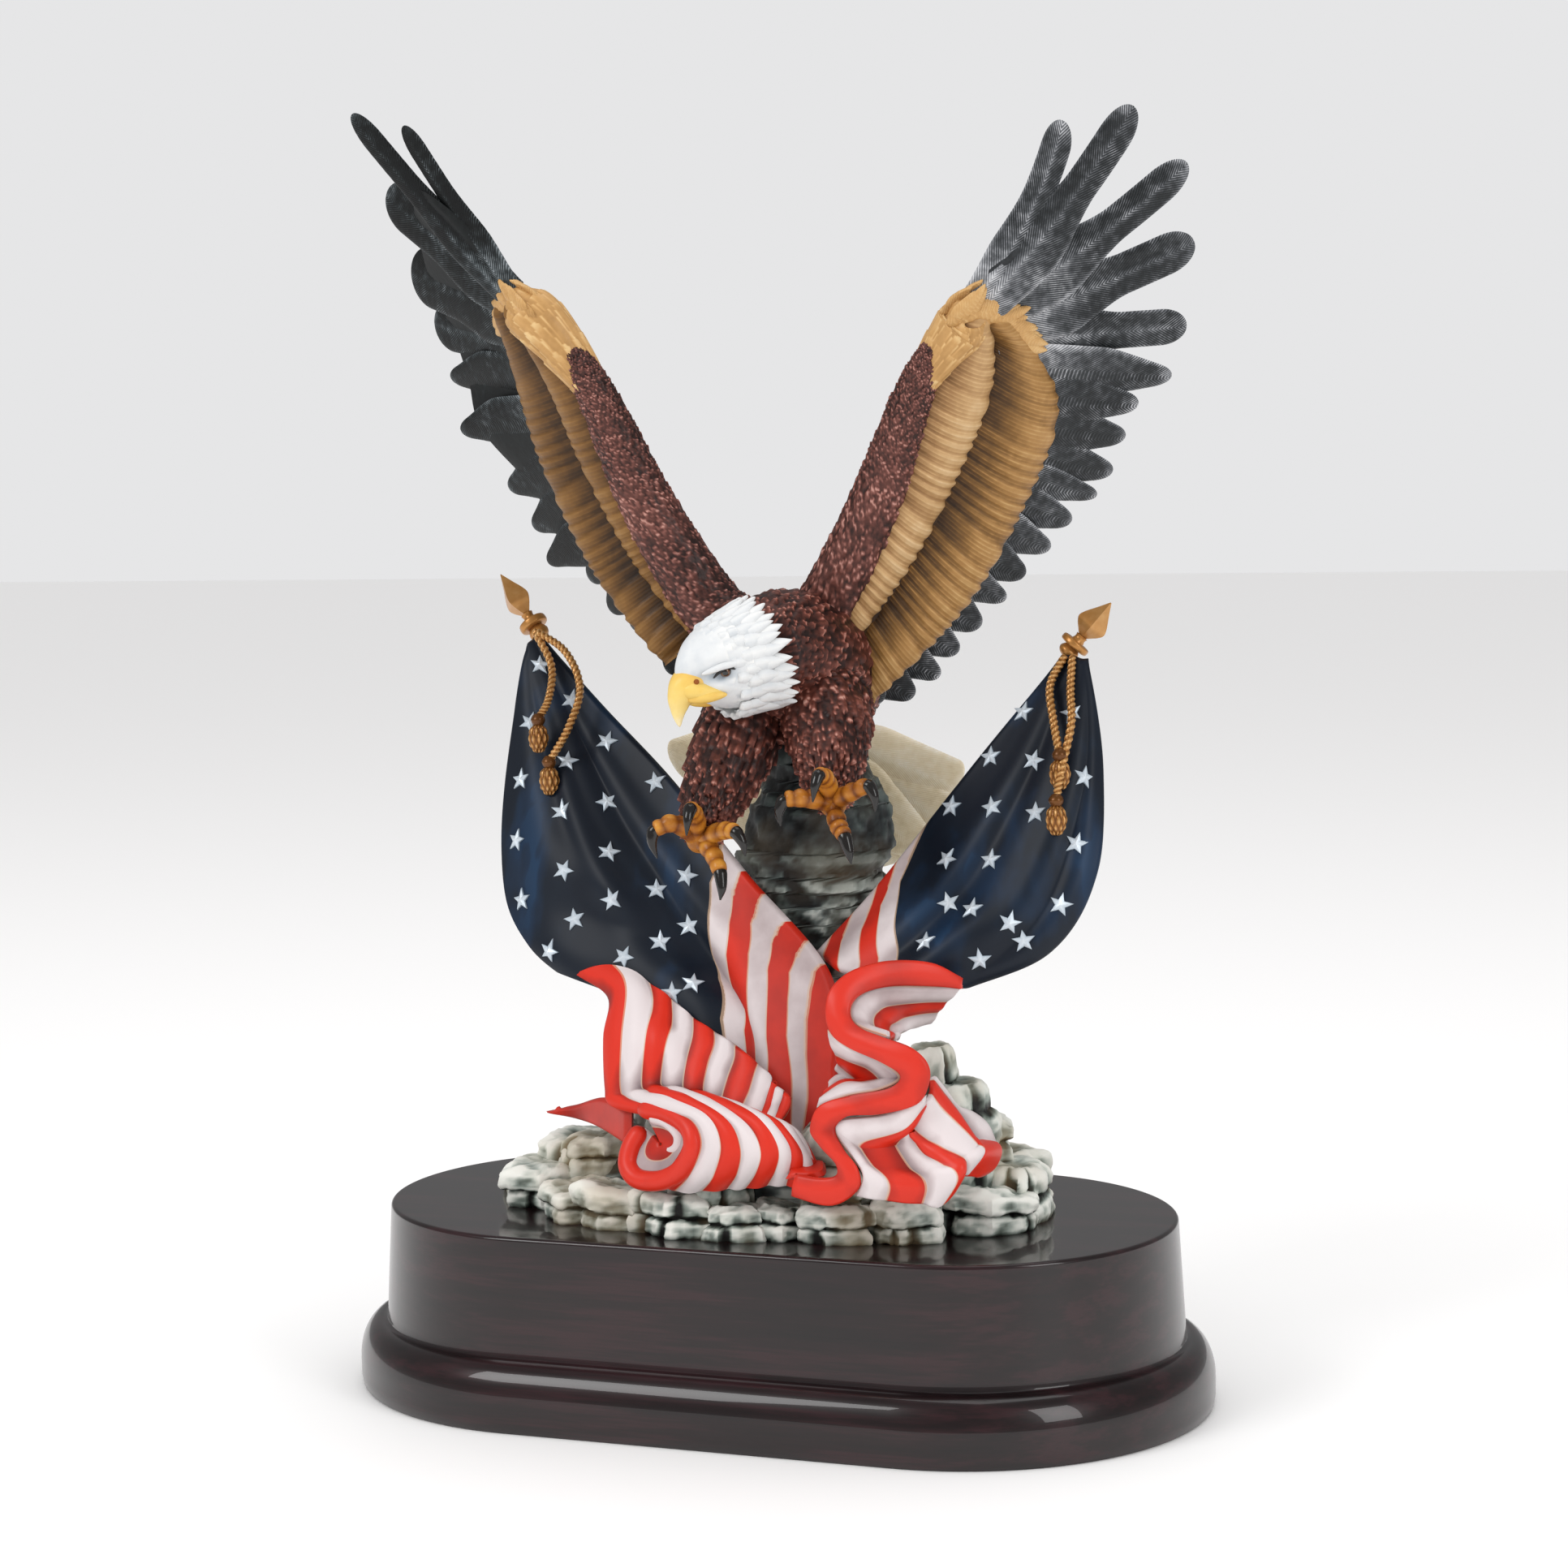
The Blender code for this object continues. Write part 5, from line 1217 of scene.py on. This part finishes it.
def covert_band(arm, edge, start, end, plane, hand, high, pitch, tilt, ribs, back, seed):
    """Makes one band of coverts: a soft ribbed ridge along the wing, alike on both faces."""
    fine = np.linspace(0.0, 1.0, 300)
    middle = (start + end) / 2
    path = spline(arm, fine) * (1 - middle) + spline(edge, fine) * middle
    run = np.concatenate([[0], np.cumsum(np.linalg.norm(np.diff(path, axis=0), axis=1))])
    length = run[-1]
    down, half = 210, 22
    along = np.linspace(0, length, down + 1)
    s = np.interp(along, run, fine)
    c = np.concatenate([np.linspace(0, 1, half + 1), np.linspace(1, 0, half + 1)[1:]])[None, :]
    face = np.concatenate([np.ones(half), [0], -np.ones(half)])[None, :]
    face[0, 0] = face[0, -1] = 0
    wander = 0.7 * np.sin(along / 6.1 + seed) + 0.35 * np.sin(along / 2.7 + 2 * seed)
    phase = along[:, None] / pitch + tilt * c + 0.6 * wander[:, None]
    low = 1 - 0.8 * ease((s[:, None] - 0.34) / 0.36)
    part = phase - np.floor(phase)
    rib = ease(part / 0.75) * (1 - ease((part - 0.80) / 0.20))
    profile = np.sin(np.pi * c ** 1.15) ** 0.75
    ends = ease(along / 5)[:, None] * ease((length - along) / 4)[:, None]
    reach = start + (end - start) * c * (1 + 0.016 * ease((c - 0.6) / 0.4) * (2 * rib - 1))
    places = spline(arm, s)[:, None] * (1 - reach)[..., None] + spline(edge, s)[:, None] * reach[..., None]
    places = places + hand * (5.0 * ease((s[:, None] - 0.72) / 0.28) * c)[..., None]
    lift = (high * profile + ribs * low * rib * profile) * ends * np.where(face < 0, back * face, face)
    places = places + plane * lift[..., None]
    # Painted shade: the band is darkest along its inner edge and lighter towards its outer edge, dipping a
    # little at that edge
    shade = ease(c / 0.7) * (1 - 0.30 * ease((c - 0.86) / 0.14))
    relief = 0.10 + 0.50 * shade + (0.05 + 0.20 * low) * (rib - 0.5) * np.ones_like(lift)
    relief = relief + 0.06 * wander[:, None]
    places[:, -1] = places[:, 0]
    return places, {"relief": np.clip(relief, 0, 1), "barb": along[:, None] + 2.2 * tilt * c + seed}


def wing(arm, edge, tips, roots, fingers, webs, flight_paint, band_paints, name, seed, silver, widths):
    """Makes one wing: flight feathers, two bands of coverts, wrist feathers and the arm."""
    shoulder, wrist = np.array(arm[0], float), np.array(arm[-1], float)
    middle = np.array(tips[len(tips) // 2], float)
    plane = unit(np.cross(wrist - shoulder, middle - (shoulder * 0.4 + wrist * 0.6)))
    if plane[1] > 0:
        plane = -plane
    open_hand = unit(plane + np.array([0.0, -1.2, 0.0]))
    hand = unit(wrist - shoulder)

    def on(s, across):
        """Reads a place between the arm and the edge of the coverts."""
        return spline(arm, [s])[0] * (1 - across) + spline(edge, [s])[0] * across
    quills, feet, borders = [], [], []
    for i, (tip, s) in enumerate(zip(tips, roots)):
        tip = np.array(tip, float)
        lift = plane * (-0.9 + 0.8 * (i % 2))
        if i < len(fingers):
            width, taper, sweep = fingers[i]
            root = on(s, min(0.30 + 0.14 * i, 0.72))
            quills.append(feather(root + lift, tip, open_hand, width, 2.3, -1.0, sweep, 80, 20, 0.0, 0.5,
                                  0.05, neck=0.7, seed=seed + i, taper=taper, blunt=0.86,
                                  silver=silver + (0.11 if i < 2 else 0.03), reach=0.5, rim_gain=0.18,
                                  waist=0.30))
        else:
            root = on(s, 0.62)
            width = min(max(widths[2] * math.dist(tips[i - 1], tip), widths[0]), widths[1])
            quills.append(feather(root + lift, tip, plane, width, 2.1, -0.5, -0.8, 50, 18, 0.0, 0.4, 0.05,
                                  neck=0.95, seed=seed + i, taper=widths[3], blunt=widths[4], silver=silver,
                                  reach=0.62, rim_gain=0.26))
        feet.append(list(root - plane * 0.6))
        borders.append(list(root + (tip - root) * webs[min(i, len(webs) - 1)] - plane * 0.6))
    halfway = [[0.5 * a + 0.5 * b - 0.5 * c for a, b, c in zip(p, q, plane)] for p, q in zip(feet, borders)]
    web = patch([feet, halfway, borders], np.linspace(0, 1, 12), np.linspace(0, 1, 7 * len(tips)))
    cast(quills + cloth(web, 1.2, {"relief": 0.42}), name + "_flight_feathers", flight_paint)
    bone = [list(on(s / 8, 0.20 - 0.14 * float(ease(s / 5)))) for s in range(9)]
    panel = patch([bone, [list(on(s / 8, 0.5)) for s in range(9)], [list(on(s / 8, 0.98)) for s in range(9)]],
                  np.linspace(0, 1, 14), np.linspace(0, 1, 40))
    outer = covert_band(arm, edge, 0.50, 1.10, plane, hand, 5.0, 4.4, 0.8, 0.75, 0.9, seed + 1.0)
    inner = covert_band(arm, edge, 0.03, 0.58, plane, hand, 6.4, 4.1, 0.6, 0.60, 0.5, seed + 2.0)
    # Painted shade: the panel under the bands of coverts is painted almost at the paint's darkest, as the
    # shadow beneath them
    cast(cloth(panel, 3.0, {"relief": 0.05}) + [outer], name + "_outer_coverts", band_paints[0])
    cast([inner], name + "_inner_coverts", band_paints[1])
    cuff = [(*on(s, across), r) for s, across, r in CUFF] + [(*(on(1.0, 0.36) - hand), 2.4)]
    fringe = [limb(cuff, 96, 110, 0.72, 11, 6, 0.6, seed=seed + 3.0, point=1.7, long=2.3, ragged=0.7)]
    fringe[0][1]["relief"] = 0.38 + 0.45 * (fringe[0][1]["relief"] - 0.3)
    for k in range(28):
        rank, spread = k // 14, (k % 14) / 13
        root = on(0.87 + 0.03 * rank, 0.02 + 0.92 * spread)
        root = root + hand * (2.5 * math.sin(math.pi * spread) + 1.5 * rank)
        toward = unit(np.array(tips[min(1 + (k % 14) // 3, 5)], float) - root)
        for face in (1, -1):
            tip = root + toward * (9 + 3 * chance(k, seed)) + plane * (1.0 * face)
            fringe.append(feather(root + plane * (2.6 * face), tip, plane * face, 5.0, 1.8, 0.6, 0.0, 12, 10,
                                  0.10, 0.10, 0.10, "lock", seed=seed + 120 + k, rim_gain=0.04))
    cast(fringe, name + "_wrist_feathers", CREAM)
    stations = [(*SHOULDER_JOINT, 9)] + [(*spline(bone, [s])[0], r) for s, r in SLEEVE]
    sleeve = limb(stations, 100, 216, 0.9, 26, 72, 0.6, seed=seed, point=1.6, long=1.9, ragged=0.95)
    facing = normals(sleeve[0])
    off = sleeve[0][..., 1] - sleeve[0][..., 1].mean(axis=1, keepdims=True)
    facing = facing if (facing[..., 1] * off).mean() > 0 else -facing
    # Painted highlight: the side of the arm that faces the front is painted lighter
    front = np.clip(-facing[..., 1], 0, 1) ** 3
    sleeve[1]["relief"] = np.clip(sleeve[1]["relief"] - 0.06 + 0.18 * front, 0, 1)
    cast([sleeve], name + "_arm", ARM_BROWN)


def blob(centre, radius, axis, count=28):
    """Makes a ball whose relief runs from its back to the pole on its axis."""
    axis = unit(axis)
    level = unit(np.cross(axis, [0.1, 0.2, 1.0]))
    rise = np.cross(level, axis)
    polar = np.linspace(0, np.pi, count)[:, None, None]
    turn = np.linspace(0, 2 * np.pi, 2 * count + 1)[None, :, None]
    ring = np.cos(turn) * level + np.sin(turn) * rise
    places = np.array(centre, float) + radius * (np.cos(polar) * axis + np.sin(polar) * ring)
    places[:, -1] = places[:, 0]
    return places, {"relief": np.broadcast_to(np.clip(np.cos(polar[..., 0]), 0, 1), places.shape[:2])}


def on_head(g, x, z):
    """Gives a place on the head from its own directions."""
    return HEAD_MIDDLE + ONWARD * g + ASIDE * x + UPWARD * z


def head_roll(stations, way, around, down, relief):
    """Makes a roll along one side of the head."""
    places, _ = limb([(*on_head(g, x * way, z), r) for g, x, z, r in stations], around, down)
    return places, {"relief": relief}


def skull():
    """Makes the head itself, with its brows, its eye sockets and small scales at the back."""
    rows, around = 112, 96
    track = spline(HEAD_STATIONS, np.linspace(0, 1, rows))
    b = np.linspace(0, 2 * np.pi, around + 1)
    turn = np.mod(b + np.pi, 2 * np.pi) - np.pi
    g = track[:, 0][:, None]
    up = np.where(np.cos(b)[None, :] > 0, track[:, 2][:, None], track[:, 3][:, None])
    x = track[:, 1][:, None] * np.sin(b)[None, :]
    z = up * np.cos(b)[None, :]
    aside = np.abs(turn)[None, :]
    brow = 1.3 * np.exp(-((g - 5.5) / 4.5) ** 2) * np.exp(-((aside - 1.14) / 0.20) ** 2)
    socket = -1.6 * np.exp(-((g - 5.2) / 3.0) ** 2) * np.exp(-((aside - 1.46) / 0.22) ** 2)
    socket = socket - 0.8 * np.exp(-((g - 9.5) / 2.5) ** 2) * np.exp(-((aside - 1.35) / 0.35) ** 2)
    u, v = np.meshgrid(b / (2 * np.pi), np.linspace(0, 1, rows))
    scale, rim = shingles(np.mod(u, 1), v, 24, 12, 1.9, 1.3, 5.0, 0.8)
    cover = ease((5.5 - g) / 5)
    swell = brow + socket + 0.5 * scale * cover
    outward = unit(ASIDE * x[..., None] + UPWARD * z[..., None] + ONWARD * 0.15)
    places = on_head(g[..., None], x[..., None], z[..., None]) + outward * swell[..., None]
    places[:, -1] = places[:, 0]
    # Painted light and shade: the brows are painted lighter and the eye sockets darker
    relief = 0.62 + 0.26 * (scale - 0.4) * cover + 0.2 * rim * cover + 0.10 * brow + 0.20 * socket
    return places, {"relief": np.clip(relief, 0.36, 1)}


def locks():
    """Makes the rows of white locks round the back of the head."""
    forward, wide_run, high_run, _ = np.array(HEAD_STATIONS).T
    made = []
    for row, (back, number, long, flare, wide) in enumerate(LOCK_ROWS):
        wide_here = np.interp(-back, -forward, wide_run)
        high_here = np.interp(-back, -forward, high_run)
        for k in range(number):
            a = 2 * math.pi * (k + 0.5 * (row % 2) + 0.25 * chance(row, k)) / number
            out = ASIDE * math.sin(a) + UPWARD * math.cos(a)
            root = on_head(back, wide_here * math.sin(a), high_here * math.cos(a)) + out * 0.1
            droop = np.array([0.0, 0.0, -1.0]) * (1.2 if abs(math.sin(a)) > 0.5 else 0.3)
            tip = root + out * flare - ONWARD * (long + 2.0 * chance(k, row, 3)) + droop
            made.append(feather(root, tip, out, wide + 1.2 * chance(k, row), 1.5, 0.4, 0.0, 18, 12, 0.30,
                                0.22, 0.08, "lock", seed=row * 20 + k, rim_gain=0.10))
    return made


def eagle_head():
    """Makes the white head, the eyes and the beak."""
    sides = (-1, 1)
    cast([skull()] + locks() + [head_roll(BROW, way, 20, 40, 0.66) for way in sides], "white_head", WHITE)
    eyes = [blob(on_head(4.0, 9.0 * way, 1.4), 1.6, ONWARD * 0.75 + ASIDE * way - UPWARD * 0.15, 20)
            for way in sides]
    cast(eyes, "eyes", EYE_PAINT)
    cast([head_roll(EYELID, way, 12, 20, 0.16) for way in sides], "eyelids", TALON_PAINT)
    flat = np.interp(np.linspace(0, 1, 85), (0.10, 0.32, 0.55, 1.0), (1.10, 1.0, 0.82, 0.8))
    upper, _ = limb([(*on_head(g, 0, z), r) for g, z, r in UPPER_BILL], 44, 84, flat)
    lower, _ = limb([(*on_head(g, 0, z), r) for g, z, r in LOWER_BILL], 24, 40, 1.1)
    made = [(upper, {"relief": np.clip(0.22 + 0.80 * shares(upper)[1], 0, 1)}),
            (lower, {"relief": np.clip(0.1 + 0.5 * shares(lower)[1], 0, 1)})]
    for way in sides:
        nostril, _ = blob(on_head(11.2, 5.1 * way, 1.0), 0.75, ONWARD * 0.3 + ASIDE * way, 12)
        made += [head_roll(GAPE, way, 16, 30, 0.50), head_roll(CHEEK, way, 20, 36, 0.58),
                 (nostril, {"relief": 0.0})]
    cast(made, "beak", BEAK_PAINT)


def skin_rings(v):
    """Gives the height of the rings of skin along a toe."""
    return np.abs(np.sin(np.pi * 4 * v))


def toe_lift(u, v):
    """Raises the rings of skin on a toe."""
    return 0.5 * skin_rings(v) * (0.6 + 0.4 * np.sin(2 * np.pi * u)) - 0.2


def eagle_body():
    """Makes the body, the feathered legs, the feet and the tail."""
    body = limb(SPINE, 154, 172, 1.03, 36, 28, 0.9, seed=2.0, point=1.4, long=2.3, ragged=0.95)
    legs = [limb(leg, 110, 136, 1.0, 24, 18, 1.5, seed=n + 4.0, point=1.25, long=2.4, ragged=0.95)
            for n, leg in enumerate((LEFT_LEG, RIGHT_LEG))]
    cast([body] + legs, "brown_body", BODY_BROWN)
    toes, talons = [], []
    for leg, feet in ((LEFT_LEG, LEFT_TOES), (RIGHT_LEG, RIGHT_TOES)):
        ankle = np.array(leg[-1][:3], float)
        toes.append(blob(ankle, 3.7, (0, 0, 1), 20))
        toes[-1][1]["relief"] = 0.5
        for knuckle, bend, claw in feet:
            knuckle, bend, claw = (np.array(p, float) for p in (knuckle, bend, claw))
            toe, _ = limb([(*ankle, 2.6), (*knuckle, 2.5), (*bend, 2.0)], 20, 44, lift=toe_lift)
            toes.append((toe, {"relief": 0.28 + 0.3 * skin_rings(shares(toe)[1])}))
            mid = (bend + claw) / 2 + unit(bend - ankle) * 0.9
            talon = limb([(*(bend - unit(bend - knuckle) * 0.6), 1.9), (*(bend * 0.8 + mid * 0.2), 1.75),
                          (*mid, 1.25), (*claw, 0.2)], 20, 30, closed=(True, False))
            talon[1]["relief"] = 0.4
            talons.append(talon)
    cast(toes, "toes", TOE_PAINT)
    cast(talons, "talons", TALON_PAINT)
    root = np.array(TAIL_ROOT, float)
    tail = []
    for i, tip in enumerate(TAIL_TIPS):
        way = unit(np.array(tip) - root)
        normal = unit(np.array([way[0] * 0.2, -0.9, -0.45]))
        tail.append(feather(root + way * 4 + normal * (0.9 * (-1) ** i), tip, normal, 16, 2.4,
                            0.5 * (-1) ** i, 0.0, 46, 20, 0.16, 0.8, 0.05, neck=0.5, seed=300 + i, blunt=0.9,
                            rim_gain=0.2))
    cast(tail, "tail_feathers", TAIL_BUFF)


# Lights, as (name, place, aim, size, power), in metres and watts
LIGHTS = [("key", (-0.9, -1.3, 1.25), (0, 0, 0.2), (0.8, 0.8), 12.0),
          ("side", (1.3, -0.7, 0.75), (0, 0, 0.15), (0.5, 0.9), 6.0),
          ("top", (0.1, 0.2, 1.6), (0, 0, 0.1), (0.9, 0.9), 4.0)]

# Camera fitted to the photograph: angles in radians, lens and sensor in millimetres, the point it looks at in
# metres, and its distance and the height of its pivot in lengths of the plinth
AZIMUTH, ELEVATION, ROLL = 0.3578, 0.0771, -0.0192
LENS, SENSOR = 76.2, 36
LOOKS_AT = (0.0045, 0, 0.1724)
DISTANCE, PIVOT_HEIGHT, PLINTH_SPAN = 3.73, 0.75, 0.25


def studio():
    """Sets the pale floor, the soft lights and the camera at the photograph's view."""
    bpy.ops.mesh.primitive_plane_add(size=14, location=(0, 0, 0))
    floor = bpy.context.object
    floor.name = "studio_floor"
    made, _, shader = surface("pale_floor", 0.6)
    shader.inputs["Base Color"].default_value = ink("#fbfaf9")
    floor.data.materials.append(made)
    world = bpy.data.worlds.new("studio")
    bpy.context.scene.world = world
    world.use_nodes = True
    sky = world.node_tree.nodes["Background"]
    sky.inputs["Color"].default_value = ink("#fbfbfc")
    rays = world.node_tree.nodes.new("ShaderNodeLightPath")
    dim = maths(world.node_tree, "MULTIPLY", rays.outputs["Is Glossy Ray"], -0.62)
    seen = maths(world.node_tree, "MULTIPLY", rays.outputs["Is Camera Ray"], -0.08)
    world.node_tree.links.new(maths(world.node_tree, "ADD", maths(world.node_tree, "ADD", dim, seen), 0.90),
                              sky.inputs["Strength"])
    for name, place, aim, size, power in LIGHTS:
        bpy.ops.object.light_add(type="AREA", location=place)
        lamp = bpy.context.object
        lamp.name = name + "_light"
        lamp.data.shape = "RECTANGLE"
        lamp.data.size, lamp.data.size_y = size
        lamp.data.energy = power
        lamp.rotation_euler = (Vector(aim) - Vector(place)).to_track_quat("-Z", "Y").to_euler()
    bpy.ops.object.camera_add()
    camera = bpy.context.object
    camera.data.lens = LENS
    camera.data.sensor_width = SENSOR
    level = math.cos(ELEVATION)
    back = Vector((math.sin(AZIMUTH) * level, -math.cos(AZIMUTH) * level, math.sin(ELEVATION)))
    right = Vector((math.cos(AZIMUTH), math.sin(AZIMUTH), 0))
    up = back.cross(right)
    stand = (Vector((0, 0, PIVOT_HEIGHT)) + back * DISTANCE) * PLINTH_SPAN
    z = -(Vector(LOOKS_AT) - stand).normalized()
    x = up.cross(z).normalized()
    y = z.cross(x)
    turned_x = math.cos(ROLL) * x + math.sin(ROLL) * y
    turned_y = math.cos(ROLL) * y - math.sin(ROLL) * x
    pose = Matrix((turned_x, turned_y, z)).transposed().to_4x4()
    pose.translation = stand
    camera.matrix_world = pose
    bpy.context.scene.camera = camera
    bpy.context.scene.view_settings.view_transform = "Standard"


plinth()
rocks()
flags()
drapes()
cords()
wing(RIGHT_ARM, RIGHT_EDGE, RIGHT_TIPS, RIGHT_ROOTS, RIGHT_FINGERS, RIGHT_WEBS, RIGHT_QUILLS,
     (GOLDEN, COVERTS), "right_wing", 0, 0.16, RIGHT_WIDTHS)
wing(LEFT_ARM, LEFT_EDGE, LEFT_TIPS, LEFT_ROOTS, LEFT_FINGERS, LEFT_WEBS, LEFT_SHADED_QUILLS,
     (LEFT_SHADED_GOLDEN, LEFT_SHADED_COVERTS), "left_wing", 200, 0.12, LEFT_WIDTHS)
eagle_head()
eagle_body()
studio()
